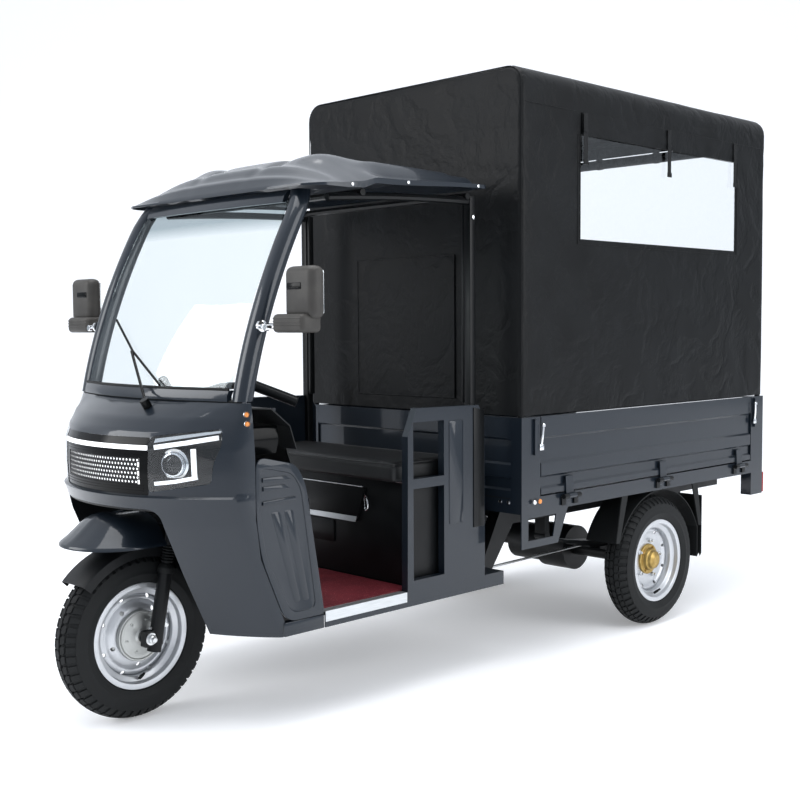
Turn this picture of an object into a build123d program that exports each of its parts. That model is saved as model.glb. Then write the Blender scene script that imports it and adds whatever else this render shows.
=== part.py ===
from build123d import *
import math
import os

os.makedirs("parts", exist_ok=True)

# Electric cargo tricycle: one steered front wheel, two driven rear wheels, a half cab
# with a windscreen and roof, and a drop-side cargo bed under a fabric canopy.
# Millimetres. +Z is up, the vehicle drives towards -Y, and +X is its left-hand side.
# The origin lies on the ground, halfway along the vehicle, on its centre line.

# Overall layout
overall_length = 3230.0
wheelbase = 2117.0
rear_track = 1018.0

# Wheels
tyre_radius = 264.0
tyre_width = 110.0
rim_radius = 167.5
rim_width = 94.0
rim_metal = 4.0
axle_radius = 10.0
running_gap = 0.05

# Steering
rake = 11.0
fork_offset = 40.0
fork_leg_spacing = 172.0
fork_leg_radius = 22.0
stem_radius = 15.0
head_tube_radius = 24.0
head_low = 650.0
head_high = 790.0

# Cargo bed
bed_length = 1718.0
bed_width = 1140.0
bed_ahead_of_axle = 893.0
bed_floor_top = 612.0
bed_sheet = 4.0
sill_depth = 55.0
sill_width = 50.0
board_height = 288.0
board_thickness = 25.0
post_length = 105.0
hinge_stand_off = 15.0
hinge_radius = 9.0
hinge_pin_radius = 5.0
hinge_width = 98.0

# Canopy
canopy_top = 2133.0
canopy_gap = 15.0
canopy_skin = 6.0
canopy_round = 70.0
canopy_tube = 12.0

# Cab
cab_width = 936.0
floor_top = 341.0
floor_depth = 48.0
panel = 4.0
front_door_edge = -959.0
rear_door_edge = -599.0
cab_rear = -104.0
arch_half_width = 262.0
arch_top = 690.0
firewall_y = -990.0
screen_width = 908.0
screen_base = 1006.0
screen_top = 1646.0
screen_frame = 26.0
screen_border = 30.0
roof_thick = 4.0
seat_top = 773.0
cushion_thick = 71.0
seat_width = 860.0
seat_front = -622.0
seat_rear = -232.0

# Chassis
rail_x = 330.0
rail_width = 50.0
rail_depth = 44.0
bed_rail_depth = 80.0

# Derived stations
front_axle_y = tyre_radius - overall_length / 2
rear_axle_y = front_axle_y + wheelbase
bed_front = rear_axle_y - bed_ahead_of_axle
bed_rear = bed_front + bed_length
bed_half = bed_width / 2
sill_bottom = bed_floor_top - sill_depth
board_top = bed_floor_top + board_height
cab_half = cab_width / 2
wheel_x = rear_track / 2
seat_bottom = seat_top - cushion_thick
hinge_z = bed_floor_top - 12.0
hinge_x = bed_half + hinge_stand_off
steer_up = Vector(0, math.sin(math.radians(rake)), math.cos(math.radians(rake)))
steer_back = Vector(0, math.cos(math.radians(rake)), -math.sin(math.radians(rake)))
steer_foot = Vector(0, front_axle_y, tyre_radius) + steer_back * fork_offset


def on_steering_axis(z):
    """Point of the steering axis at a height above the ground."""
    return steer_foot + steer_up * ((z - steer_foot.Z) / steer_up.Z)


def save(part, name):
    """Label a finished piece and write it."""
    part.label = name
    export_step(part, f"parts/{name}.step")


def block(x, y, z, mode=Mode.ADD):
    """Box between two stations on each axis."""
    with Locations(((x[0] + x[1]) / 2, (y[0] + y[1]) / 2, (z[0] + z[1]) / 2)):
        Box(x[1] - x[0], y[1] - y[0], z[1] - z[0], mode=mode)


def side_profile(points, x, radius=0.0, mode=Mode.ADD):
    """Outline in the side view (y, z), carried across between two x stations."""
    with BuildSketch(Plane.YZ.offset(x[0])) as outline:
        with BuildLine():
            Polyline(*points, close=True)
        make_face()
        if radius > 0:
            fillet(outline.vertices(), radius)
    extrude(outline.sketch, amount=x[1] - x[0], mode=mode)


def front_profile(points, y, radius=0.0, mode=Mode.ADD):
    """Outline in the front view (x, z), carried back between two y stations."""
    with BuildSketch(Plane.XZ.offset(-y[1])) as outline:
        with BuildLine():
            Polyline(*points, close=True)
        make_face()
        if radius > 0:
            fillet(outline.vertices(), radius)
    extrude(outline.sketch, amount=y[1] - y[0], mode=mode)


def bar(points, radius, bend=0.0, bore=0.0, mode=Mode.ADD):
    """Round tube along straight runs with rounded bends."""
    with BuildLine() as route:
        if bend > 0:
            FilletPolyline(*points, radius=bend)
        else:
            Polyline(*points)
    with BuildSketch(Plane(origin=route.line @ 0, z_dir=route.line % 0)) as section:
        Circle(radius)
        if bore > 0:
            Circle(bore, mode=Mode.SUBTRACT)
    sweep(section.sketch, path=route.line, mode=mode)


def disc(centre, axis, radius, length, bore=0.0, mode=Mode.ADD):
    """Round bar or ring from a centre point along an axis."""
    with BuildSketch(Plane(origin=centre, z_dir=axis)) as section:
        Circle(radius)
        if bore > 0:
            Circle(bore, mode=Mode.SUBTRACT)
    extrude(section.sketch, amount=length / 2, both=True, mode=mode)


# Wheels. Every wheel is a pressed steel rim with a tyre on its bead seats.
# The rim is drawn in the half plane through the axle: u along the axle, r outward.
bead_radius = rim_radius - 15.0
well_radius = rim_radius - 38.0
carcass = 10.0


def tyre_piece(name, centre):
    """Hollow tyre standing on the bead seats."""
    half = tyre_width / 2
    bead_half = rim_width / 2 - rim_metal
    mid = (tyre_radius + bead_radius) / 2
    with BuildPart() as tyre:
        with BuildSketch(Plane.YZ) as section:
            with BuildLine():
                foot = Line((-bead_half, bead_radius), (-bead_half + carcass, bead_radius))
                inner_wall = Line(foot @ 1, (-half + carcass, mid))
                inner_top = ThreePointArc(inner_wall @ 1, (0, tyre_radius - 1.6 * carcass), (half - carcass, mid))
                drop = Line(inner_top @ 1, (bead_half - carcass, bead_radius))
                other_foot = Line(drop @ 1, (bead_half, bead_radius))
                lip = Line(other_foot @ 1, (bead_half, rim_radius + 2.0))
                rise = ThreePointArc(lip @ 1, (half, mid + 6.0), (half - 9.0, tyre_radius - 22.0))
                tread = ThreePointArc(rise @ 1, (0, tyre_radius), (-half + 9.0, tyre_radius - 22.0))
                fall = ThreePointArc(tread @ 1, (-half, mid + 6.0), (-bead_half, rim_radius + 2.0))
                Line(fall @ 1, foot @ 0)
            make_face()
        revolve(axis=Axis.Y, revolution_arc=360)
    turned = tyre.part.rotate(Axis.Z, -90).moved(Location(centre))
    save(turned, name)


def rim_piece(name, centre, outward, holes, hole_radius, hole_circle, dish, hub_radius):
    """Rim channel and pressed disc in one solid, with a ring of holes in the disc."""
    half = rim_width / 2
    with BuildPart() as rim:
        with BuildSketch(Plane.YZ) as section:
            with BuildLine():
                Polyline(
                    (-half, rim_radius),
                    (-half, bead_radius - rim_metal),
                    (-0.45 * half, bead_radius - rim_metal),
                    (-0.35 * half, well_radius - rim_metal),
                    (0.35 * half, well_radius - rim_metal),
                    (0.45 * half, bead_radius - rim_metal),
                    (half, bead_radius - rim_metal),
                    (half, rim_radius),
                    (half - rim_metal, rim_radius),
                    (half - rim_metal, bead_radius),
                    (0.45 * half - 0.8 * rim_metal, bead_radius),
                    (0.35 * half - 0.8 * rim_metal, well_radius),
                    (-0.35 * half + 0.8 * rim_metal, well_radius),
                    (-0.45 * half + 0.8 * rim_metal, bead_radius),
                    (-half + rim_metal, bead_radius),
                    (-half + rim_metal, rim_radius),
                    close=True,
                )
            make_face()
        revolve(axis=Axis.Y, revolution_arc=360)
        with BuildSketch(Plane.YZ) as dished:
            with BuildLine():
                Polyline(
                    (dish, hub_radius),
                    (dish, hub_radius + 28.0),
                    (0.5 * dish, well_radius - 14.0),
                    (0.0, well_radius - rim_metal + 0.5),
                    (-1.2 * rim_metal, well_radius - rim_metal + 0.5),
                    (0.5 * dish - 1.2 * rim_metal, well_radius - 18.0),
                    (dish - rim_metal, hub_radius + 24.0),
                    (dish - rim_metal, hub_radius),
                    close=True,
                )
            make_face()
        revolve(axis=Axis.Y, revolution_arc=360)
        with BuildSketch(Plane.XZ) as ring:
            with PolarLocations(hole_circle, holes):
                Circle(hole_radius)
        extrude(ring.sketch, amount=half, both=True, mode=Mode.SUBTRACT)
    turned = rim.part.rotate(Axis.Z, -90 if outward > 0 else 90).moved(Location(centre))
    save(turned, name)


front_centre = Vector(0, front_axle_y, tyre_radius)
left_centre = Vector(wheel_x, rear_axle_y, tyre_radius)
right_centre = Vector(-wheel_x, rear_axle_y, tyre_radius)
front_hub_radius = 79.0
rear_hub_radius = 42.0

tyre_piece("front_tyre", front_centre)
tyre_piece("rear_tyre_left", left_centre)
tyre_piece("rear_tyre_right", right_centre)
rim_piece("front_rim", front_centre, 1, 8, 7.5, 113.0, 18.0, front_hub_radius)
rim_piece("rear_rim_left", left_centre, 1, 8, 9.0, 108.0, -12.0, rear_hub_radius)
rim_piece("rear_rim_right", right_centre, -1, 8, 9.0, 108.0, -12.0, rear_hub_radius)

# Front hub: a ribbed brake drum that fills the disc's middle and turns on the axle.
front_hub_half = 44.0
with BuildPart() as front_hub:
    disc(front_centre, (1, 0, 0), front_hub_radius, 2 * front_hub_half - 8.0, axle_radius + running_gap)
    disc(front_centre, (1, 0, 0), 24.0, 2 * front_hub_half, axle_radius + running_gap)
save(front_hub.part, "front_hub")

# Rear hubs: flanged drums behind the discs with a stepped cap that shows in the dish.
half_shaft_radius = 16.0
hub_cap_end = 40.0
drum_back = -78.0
for side, name in ((1, "rear_hub_left"), (-1, "rear_hub_right")):
    with BuildPart() as hub:
        with BuildSketch(Plane.XY) as section:
            with BuildLine():
                Polyline(
                    (drum_back, 0),
                    (drum_back, 88.0),
                    (-16.0, 88.0),
                    (-16.0, rear_hub_radius),
                    (4.0, rear_hub_radius),
                    (12.0, 30.0),
                    (30.0, 28.0),
                    (hub_cap_end, 20.0),
                    (hub_cap_end, 0),
                    close=True,
                )
            make_face()
        revolve(axis=Axis.X, revolution_arc=360)
        with BuildSketch(Plane.YZ.offset(drum_back)) as socket:
            Circle(half_shaft_radius + running_gap)
        extrude(socket.sketch, amount=60.0, mode=Mode.SUBTRACT)
    turned = hub.part if side > 0 else hub.part.mirror(Plane.YZ)
    save(turned.moved(Location((side * wheel_x, rear_axle_y, tyre_radius))), name)

# Steering: two telescopic legs joined by two clamp plates, a stem and a handlebar.
fender_tip = front_axle_y - 225.0
fender_side = front_axle_y - 54.0
fender_rear = front_axle_y + 21.0
fender_low = 562.0
fender_crown = 655.0
lower_clamp_z = 615.0
upper_clamp_z = 830.0
clamp_thick = 26.0
leg_lead = 14.0
leg_half = fork_leg_spacing / 2
with BuildPart() as fork:
    for side in (-1, 1):
        foot = steer_foot + Vector(side * leg_half, 0, 0) - steer_back * leg_lead
        low = foot - steer_up * 40.0
        mid = foot + steer_up * 215.0
        top = foot + steer_up * ((upper_clamp_z - foot.Z) / steer_up.Z)
        bar([low, mid], fork_leg_radius)
        bar([mid, top], fork_leg_radius - 6.0)
        block(
            sorted((side * (leg_half - 14.0), side * (leg_half + 14.0))),
            (front_axle_y - 20.0, front_axle_y + 42.0),
            (tyre_radius - 24.0, tyre_radius + 24.0),
        )
    for z in (lower_clamp_z, upper_clamp_z):
        middle = on_steering_axis(z)
        with BuildSketch(Plane(origin=middle, x_dir=(1, 0, 0), z_dir=steer_up)) as plate:
            with Locations((0, -leg_lead / 2)):
                RectangleRounded(fork_leg_spacing + 56.0, 74.0, 28.0)
        extrude(plate.sketch, amount=clamp_thick / 2, both=True)
    bar([on_steering_axis(lower_clamp_z), on_steering_axis(upper_clamp_z)], stem_radius)
    bar([(-leg_half, front_axle_y, tyre_radius), (leg_half, front_axle_y, tyre_radius)], axle_radius)
    stay_z = lower_clamp_z - 2.0
    side_profile(
        [
            (front_axle_y + 66.0, stay_z),
            (fender_rear + 6.3, stay_z),
            (fender_rear + 6.3, stay_z + 22.0),
            (fender_rear + 0.3, stay_z + 22.0),
            (fender_rear + 0.3, stay_z - 6.0),
            (front_axle_y + 66.0, stay_z - 6.0),
        ],
        (-45.0, 45.0),
    )
save(fork.part, "fork")

bar_foot = on_steering_axis(upper_clamp_z + (clamp_thick / 2 + 0.4) * steer_up.Z)
bar_top = on_steering_axis(upper_clamp_z + 165.0)
grip_inner = (250.0, -1059.0, 1043.0)
grip_outer = (350.0, -964.0, 990.0)
with BuildPart() as handlebar:
    for side in (-1, 1):
        foot = bar_foot + Vector(side * 34.0, 0, 0)
        bar(
            [
                foot,
                foot + steer_up * 120.0,
                bar_top + Vector(side * 70.0, -4.0, 12.0),
                (side * 170.0, -1120.0, 1040.0),
                (side * grip_inner[0], grip_inner[1], grip_inner[2]),
                (side * grip_outer[0], grip_outer[1], grip_outer[2]),
            ],
            11.0,
            18.0,
        )
        bar(
            [
                (side * grip_inner[0], grip_inner[1], grip_inner[2]),
                (side * grip_outer[0], grip_outer[1], grip_outer[2]),
            ],
            17.0,
        )
    brace = foot + steer_up * 60.0
    bar([(-34.0, brace.Y, brace.Z), (34.0, brace.Y, brace.Z)], 9.0)
save(handlebar.part, "handlebar")

# Front fender: a duck-bill shell over the tyre with a rounded plan, open underneath.
# Height, half width, tip, and the y where the sides begin, from the rim to the crown.
fender_levels = (
    (fender_low, 166.0, fender_tip, fender_side),
    (fender_low + 32.0, 152.0, fender_tip + 22.0, fender_side),
    (fender_low + 72.0, 118.0, fender_tip + 80.0, fender_side + 6.0),
    (fender_crown, 62.0, fender_tip + 112.0, fender_side + 14.0),
)


def fender_outline(level, inset, drop):
    """Plan outline of the fender at one of its levels."""
    z, half, tip, side = level
    half -= inset
    with BuildSketch(Plane.XY.offset(z - drop)) as outline:
        with BuildLine():
            nose = ThreePointArc((-half, side), (0, tip + inset), (half, side))
            Polyline(nose @ 1, (half, fender_rear - inset), (-half, fender_rear - inset), nose @ 0)
        make_face()
    return outline.sketch.face()


with BuildPart() as front_fender:
    for inset, mode in ((0.0, Mode.ADD), (panel, Mode.SUBTRACT)):
        for lower, upper in zip(fender_levels, fender_levels[1:]):
            drop = panel if inset > 0 and upper is fender_levels[-1] else 0.0
            sections = (fender_outline(lower, inset, 0.0), fender_outline(upper, inset, drop))
            loft(sections=sections, ruled=True, mode=mode)
save(front_fender.part, "front_fender")

fork_sweep = 150.0

# Chassis: two rails that step up behind the seat, cross members, neck and head tube.
rail_low = floor_top - 2.0 - rail_depth
rail_high = sill_bottom
rail_front = front_door_edge - 86.0
rail_outline = [
    (rail_front, rail_low),
    (bed_front + 70.0, rail_low),
    (bed_front + 210.0, rail_high - bed_rail_depth),
    (bed_rear - 20.0, rail_high - bed_rail_depth),
    (bed_rear - 20.0, rail_high),
    (bed_front + 150.0, rail_high),
    (bed_front + 30.0, rail_low + rail_depth),
    (rail_front, rail_low + rail_depth),
]
neck_foot = Vector(0, rail_front + 25.0, rail_low + rail_depth / 2)
head_mid = on_steering_axis((head_low + head_high) / 2)
with BuildPart() as chassis_frame:
    for side in (-1, 1):
        inner = side * rail_x - rail_width / 2
        side_profile(rail_outline, (inner, inner + rail_width))
    for y, low, high in (
        (rail_front, rail_low, rail_low + rail_depth),
        (-560.0, rail_low, rail_low + rail_depth),
        (bed_front - 110.0, rail_low, rail_low + rail_depth),
        (bed_front + 180.0, rail_high - 60.0, rail_high),
        (rear_axle_y - 330.0, rail_high - 60.0, rail_high),
        (rear_axle_y + 330.0, rail_high - 60.0, rail_high),
        (bed_rear - 60.0, rail_high - 60.0, rail_high),
    ):
        block((-rail_x, rail_x), (y, y + 40.0), (low, high))
    bar([neck_foot, head_mid + Vector(0, 26.0, -10.0)], 26.0)
    bar([on_steering_axis(head_low), on_steering_axis(head_high)], head_tube_radius)
    for side in (-1, 1):
        strut_foot = (side * 220.0, rail_front + 20.0, rail_low + 20.0)
        bar([strut_foot, neck_foot + (head_mid - neck_foot) * 0.5 + Vector(side * 10.0, 8.0, 0)], 14.0)
    bar([on_steering_axis(head_low - 20.0), on_steering_axis(head_high + 20.0)], stem_radius + running_gap, mode=Mode.SUBTRACT)
save(chassis_frame.part, "chassis_frame")

# Cab floor: a folded tray over the rails, with a mat and bright sill strips.
with BuildPart() as cab_floor:
    block((-cab_half, cab_half), (front_door_edge, cab_rear), (floor_top - 2.0, floor_top))
    for side in (-1, 1):
        edge = side * (cab_half - 1.5)
        block((edge - 1.5, edge + 1.5), (front_door_edge, cab_rear), (floor_top - floor_depth, floor_top))
save(cab_floor.part, "cab_floor")

mat_thick = 5.0
with BuildPart() as floor_mat:
    block((-cab_half + 34.0, cab_half - 34.0), (firewall_y + 55.0, seat_front + 76.0), (floor_top, floor_top + mat_thick))
save(floor_mat.part, "floor_mat")

with BuildPart() as sill_trims:
    for side in (-1, 1):
        edge = side * (cab_half - 15.0)
        block((edge - 16.0, edge + 16.0), (front_door_edge + 1.0, rear_door_edge - 1.0), (floor_top, floor_top + 3.0))
        skin = side * (cab_half + 1.0)
        block((skin - 1.0, skin + 1.0), (front_door_edge + 1.0, rear_door_edge - 1.0), (floor_top - 30.0, floor_top + 3.0))
save(sill_trims.part, "sill_trims")

# Nose: three lofts stacked, hollowed by the same lofts drawn one wall thickness in.
nose_levels = (
    (290.0, -1300.0, -1130.0),
    (640.0, -1462.0, -1278.0),
    (727.0, -1492.0, -1300.0),
    (733.0, -1481.0, -1292.0),
    (880.0, -1482.0, -1291.0),
    (955.0, -1425.0, -1275.0),
    (screen_base, -1341.0, -1252.0),
)
nose_rear = -1040.0
nose_corner = 24.0
seam_gap = 0.5
seam_low = 906.0
seam_high = 950.0
nose_side = [
    (-1700, 200),
    (-1115, 200),
    (-1115, 336),
    (-1203, 541),
    (-1223, 662),
    (-1223, 853),
    (-1236, 1100),
    (-1700, 1100),
]
lamp_inner = 232.0
lamp_outer = 404.0
lamp_low = 742.0
lamp_high = 905.0
grille_low = 733.0
grille_high = 866.0
grille_rows = 5
grille_columns = 14
grille_pitch = 29.0


def nose_outline(z, front, corner, inset):
    """Plan outline of the nose at one height."""
    half = cab_half - inset
    with BuildSketch(Plane.XY.offset(z)) as outline:
        with BuildLine():
            start = (-half + nose_corner, corner + inset)
            end = (half - nose_corner, corner + inset)
            face = ThreePointArc(start, (0, front + inset), end)
            Polyline(
                face @ 1,
                (half, corner + 60.0),
                (half, nose_rear),
                (-half, nose_rear),
                (-half, corner + 60.0),
                face @ 0,
            )
        make_face()
    return outline.sketch.face()


def nose_loft(inset, mode=Mode.ADD):
    """The whole nose as stacked lofts, drawn in by an inset."""
    for lower, upper in zip(nose_levels, nose_levels[1:]):
        top = upper[0] - (inset if upper is nose_levels[-1] else 0.0)
        low = nose_outline(lower[0], lower[1], lower[2], inset)
        high = nose_outline(top, upper[1], upper[2], inset)
        loft(sections=[low, high], ruled=True, mode=mode)


def seam_cut(offset, above):
    """Region of the front view over or under the hood's seam, carried through the nose."""
    edge = cab_half + 20.0
    far = 1200.0 if above else 100.0
    with BuildSketch(Plane.XZ.offset(900.0)) as region:
        with BuildLine():
            seam = ThreePointArc((-edge, seam_high + offset), (0, seam_low + offset), (edge, seam_high + offset))
            Polyline(seam @ 1, (edge, far), (-edge, far), seam @ 0)
        make_face()
    extrude(region.sketch, amount=900.0, mode=Mode.INTERSECT)


def lamp_window(grow):
    """Front-view outline of one headlamp opening on the left side."""
    return [
        (lamp_inner - grow, lamp_low - grow),
        (lamp_outer - 18.0 + grow, lamp_low + 24.0 - grow),
        (lamp_outer + grow, lamp_low + 92.0),
        (lamp_outer + 14.0 + grow, lamp_high - 20.0),
        (lamp_outer - 14.0, lamp_high + 10.0 + grow),
        (lamp_inner - grow, lamp_high - 14.0 + grow),
    ]


def mirrored(points):
    """The same front-view outline on the other side."""
    return [(-x, z) for x, z in points]


with BuildPart() as nose_shell:
    nose_loft(0.0)
    nose_loft(panel, Mode.SUBTRACT)
    side_profile(nose_side, (-cab_half - 1, cab_half + 1), mode=Mode.INTERSECT)
    block((-arch_half_width, arch_half_width), (-1700, -900), (200, arch_top), Mode.SUBTRACT)
with BuildPart() as nose_cowl:
    add(nose_shell.part)
    seam_cut(-seam_gap, False)
    for outline in (lamp_window(0.0), mirrored(lamp_window(0.0))):
        front_profile(outline, (-1600, -1100), mode=Mode.SUBTRACT)
    front_profile(
        [(-lamp_inner, grille_low), (lamp_inner, grille_low), (lamp_inner, grille_high + 16.3), (-lamp_inner, grille_high + 16.3)],
        (-1600, -1300),
        mode=Mode.SUBTRACT,
    )
save(nose_cowl.part, "nose_cowl")
with BuildPart() as hood_panel:
    add(nose_shell.part)
    seam_cut(0.0, True)
save(hood_panel.part, "hood_panel")

# Grille and light bar fill the opening between the lamps, one wall behind the fascia.
with BuildPart() as grille:
    nose_loft(0.0)
    nose_loft(panel, Mode.SUBTRACT)
    gap = 0.3
    front_profile(
        [
            (-lamp_inner + gap, grille_low + gap),
            (lamp_inner - gap, grille_low + gap),
            (lamp_inner - gap, grille_high - gap),
            (-lamp_inner + gap, grille_high - gap),
        ],
        (-1600, -1300),
        mode=Mode.INTERSECT,
    )
    for row in range(grille_rows):
        z = grille_low + 30.0 + row * 20.0
        for column in range(grille_columns):
            x = (column - (grille_columns - 1) / 2 + (0.25 if row % 2 else -0.25)) * grille_pitch
            block((x - 9.0, x + 9.0), (-1600, -1300), (z - 4.0, z + 4.0), Mode.SUBTRACT)
save(grille.part, "grille")
with BuildPart() as light_bar:
    nose_loft(0.0)
    nose_loft(panel, Mode.SUBTRACT)
    front_profile(
        [(-231.7, grille_high), (231.7, grille_high), (231.7, grille_high + 16), (-231.7, grille_high + 16)],
        (-1600, -1300),
        mode=Mode.INTERSECT,
    )
save(light_bar.part, "light_bar")
lamp_gap = 0.3
with BuildPart() as headlamp_lenses:
    nose_loft(0.0)
    nose_loft(panel, Mode.SUBTRACT)
    with BuildSketch(Plane.XZ.offset(900.0)) as windows:
        for outline in (lamp_window(-lamp_gap), mirrored(lamp_window(-lamp_gap))):
            with BuildLine():
                Polyline(*outline, close=True)
            make_face()
    extrude(windows.sketch, amount=900.0, mode=Mode.INTERSECT)
save(headlamp_lenses.part, "headlamp_lenses")
with BuildPart() as headlamp_housings:
    nose_loft(panel + 0.3)
    nose_loft(panel + 70.0, Mode.SUBTRACT)
    with BuildSketch(Plane.XZ.offset(900.0)) as windows:
        for outline in (lamp_window(-lamp_gap), mirrored(lamp_window(-lamp_gap))):
            with BuildLine():
                Polyline(*outline, close=True)
            make_face()
    extrude(windows.sketch, amount=900.0, mode=Mode.INTERSECT)
    block((-600, 600), (-1250, -900), (600, 1000), Mode.SUBTRACT)
save(headlamp_housings.part, "headlamp_housings")

# Wheel arch liner: two side walls, a roof with a round opening for the fork, and the
# firewall behind the wheel. Its front edge follows the inside of the cowl.
liner_low = floor_top + 4.0
with BuildPart() as cowl_skin:
    nose_loft(-300.0)
    nose_loft(panel + 0.3, Mode.SUBTRACT)
with BuildPart() as arch_liner:
    side_profile(
        [(firewall_y, liner_low), (-1500, liner_low), (-1500, arch_top - 2), (firewall_y, arch_top - 2)],
        (-arch_half_width - panel, arch_half_width + panel),
    )
    side_profile(
        [
            (firewall_y - panel, 300),
            (-1501, 300),
            (-1501, arch_top - 2 - panel),
            (firewall_y - panel, arch_top - 2 - panel),
        ],
        (-arch_half_width, arch_half_width),
        mode=Mode.SUBTRACT,
    )
    add(cowl_skin.part, mode=Mode.SUBTRACT)
    bar([on_steering_axis(600.0), on_steering_axis(760.0)], fork_sweep, mode=Mode.SUBTRACT)
save(arch_liner.part, "arch_liner")

# Bulkhead and dash: firewall below, sloping fascia above, closing the cab's front.
dash_outline = [
    (-1225, 990),
    (-1150, 985),
    (-1080, 930),
    (-1020, 760),
    (firewall_y + 26, 690),
    (firewall_y + 26, floor_top),
    (firewall_y + 22, floor_top),
    (firewall_y + 22, 690),
    (-1024, 760),
    (-1083, 928),
    (-1152, 981),
    (-1225, 986),
]
with BuildPart() as dash_panel:
    side_profile(dash_outline, (-cab_half + 12, cab_half - 12))
    for side in (-1, 1):
        x = sorted((side * (cab_half - 60.3), side * cab_half))
        block(x, (-1300, -900), (300, 856), Mode.SUBTRACT)
    bar([on_steering_axis(840.0), on_steering_axis(1060.0)], 105.0, mode=Mode.SUBTRACT)
save(dash_panel.part, "dash_panel")

# Leg shields: moulded side panels between the cowl and the door opening.
shield_outline = [
    (-1114.6, 336),
    (front_door_edge - 1, 336),
    (front_door_edge - 5, 368),
    (-1031, 761),
    (-1062, 794),
    (-1222.6, 850),
    (-1222.6, 662),
    (-1202.6, 541),
]
with BuildPart() as leg_shields:
    for side in (-1, 1):
        x = sorted((side * (cab_half - 60.0), side * cab_half))
        side_profile(shield_outline, x)
        inner = sorted((side * (cab_half - 61.0), side * (cab_half - panel)))
        with BuildSketch(Plane.YZ.offset(inner[0])) as core:
            with BuildLine():
                Polyline(*shield_outline, close=True)
            make_face()
            offset(amount=-panel, mode=Mode.REPLACE)
        extrude(core.sketch, amount=inner[1] - inner[0], mode=Mode.SUBTRACT)
        rib = sorted((side * (cab_half - 1.0), side * (cab_half + 3.0)))
        for low, front, rear in ((742.0, -1150.0, -1046.0), (718.0, -1160.0, -1040.0), (694.0, -1168.0, -1034.0)):
            block(rib, (front, rear), (low, low + 9.0))
        for front, foot in ((-1130.0, -1068.0), (-1096.0, -1042.0), (-1062.0, -1016.0)):
            side_profile([(front, 650), (front + 9, 650), (foot + 9, 400), (foot, 400)], rib)
save(leg_shields.part, "leg_shields")

# Windscreen: frame and glass are lofts through three horizontal sections.
screen_levels = (
    (screen_base, -1341.0, -1256.0),
    (1320.0, -1224.0, -1164.0),
    (screen_top, -1018.0, -1006.0),
)


def screen_band(thick, setback):
    """Curved upright sheet through the windscreen's three levels."""
    sections = []
    for z, middle, edge in screen_levels:
        half = screen_width / 2
        with BuildSketch(Plane.XY.offset(z)) as section:
            with BuildLine():
                face = ThreePointArc((-half, edge + setback), (0, middle + setback), (half, edge + setback))
                side = Line(face @ 1, (half, edge + setback + thick))
                back = ThreePointArc(side @ 1, (0, middle + setback + thick), (-half, edge + setback + thick))
                Line(back @ 1, face @ 0)
            make_face()
        sections.append(section.sketch.face())
    return sections


def pane(border):
    """Front-view outline of the glass, drawn in from the frame's edge."""
    half = screen_width / 2 - border
    low = screen_base + border
    high = screen_top - border
    return [(-half, low), (half, low), (half, high), (-half, high)]


with BuildPart() as windshield_frame:
    loft(sections=screen_band(screen_frame, 0.0))
    front_profile(pane(screen_border), (-1500, -900), 18.0, Mode.SUBTRACT)
save(windshield_frame.part, "windshield_frame")
with BuildPart() as windshield_glass:
    loft(sections=screen_band(5.0, 10.0))
    front_profile(pane(screen_border + 0.3), (-1500, -900), 18.0, Mode.INTERSECT)
save(windshield_glass.part, "windshield_glass")

# Wiper: pivot cap on the hood, an arm and a blade lying along the glass.
def screen_y(x, z):
    """Front face of the windscreen at a point of the front view."""
    (z0, m0, e0), (z1, m1, e1), (z2, m2, e2) = screen_levels
    a = (z - z1) * (z - z2) / ((z0 - z1) * (z0 - z2))
    b = (z - z0) * (z - z2) / ((z1 - z0) * (z1 - z2))
    c = (z - z0) * (z - z1) / ((z2 - z0) * (z2 - z1))
    share = (x / (screen_width / 2)) ** 2
    return (a * m0 + b * m1 + c * m2) * (1 - share) + (a * e0 + b * e1 + c * e2) * share


wiper_pivot = (130.0, -1373.4, 997.2)
blade_low = (128.0, 1050.0)
blade_high = (-252.0, 1250.0)
with BuildPart() as wiper:
    disc(wiper_pivot, (0, -0.519, 0.855), 14.0, 26.0)
    middle = ((blade_low[0] + blade_high[0]) / 2, (blade_low[1] + blade_high[1]) / 2)
    bar([wiper_pivot, (middle[0], screen_y(*middle) - 3.0, middle[1])], 4.5)
    ends = [(x, screen_y(x, z) + 1.6, z) for x, z in (blade_low, middle, blade_high)]
    bar(ends[:2], 4.0)
    bar(ends[1:], 4.0)
save(wiper.part, "wiper")

# Roof: a moulded shell lofted over the cab, open underneath.
roof_levels = (
    (-1034.0, 522.0, screen_top + 0.3, 1676.0),
    (-770.0, 522.0, 1668.0, 1788.0),
    (-262.0, 522.0, 1690.0, 1770.0),
)


def roof_section(y, half, low, high, inset):
    """Front-view outline of the roof at one station."""
    with BuildSketch(Plane.XZ.offset(-y)) as section:
        with BuildLine():
            width = half - inset
            crown = ThreePointArc((-width, low + 12.0), (0, high - inset), (width, low + 12.0))
            Polyline(crown @ 1, (width, low), (-width, low), crown @ 0)
        make_face()
    return section.sketch.face()


with BuildPart() as roof_panel:
    loft(sections=[roof_section(*level, 0.0) for level in roof_levels])
    loft(
        sections=[
            roof_section(y + shift, half, low - 0.5, high, roof_thick)
            for (y, half, low, high), shift in zip(roof_levels, (roof_thick, 0.0, -roof_thick))
        ],
        mode=Mode.SUBTRACT,
    )
save(roof_panel.part, "roof_panel")

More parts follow.
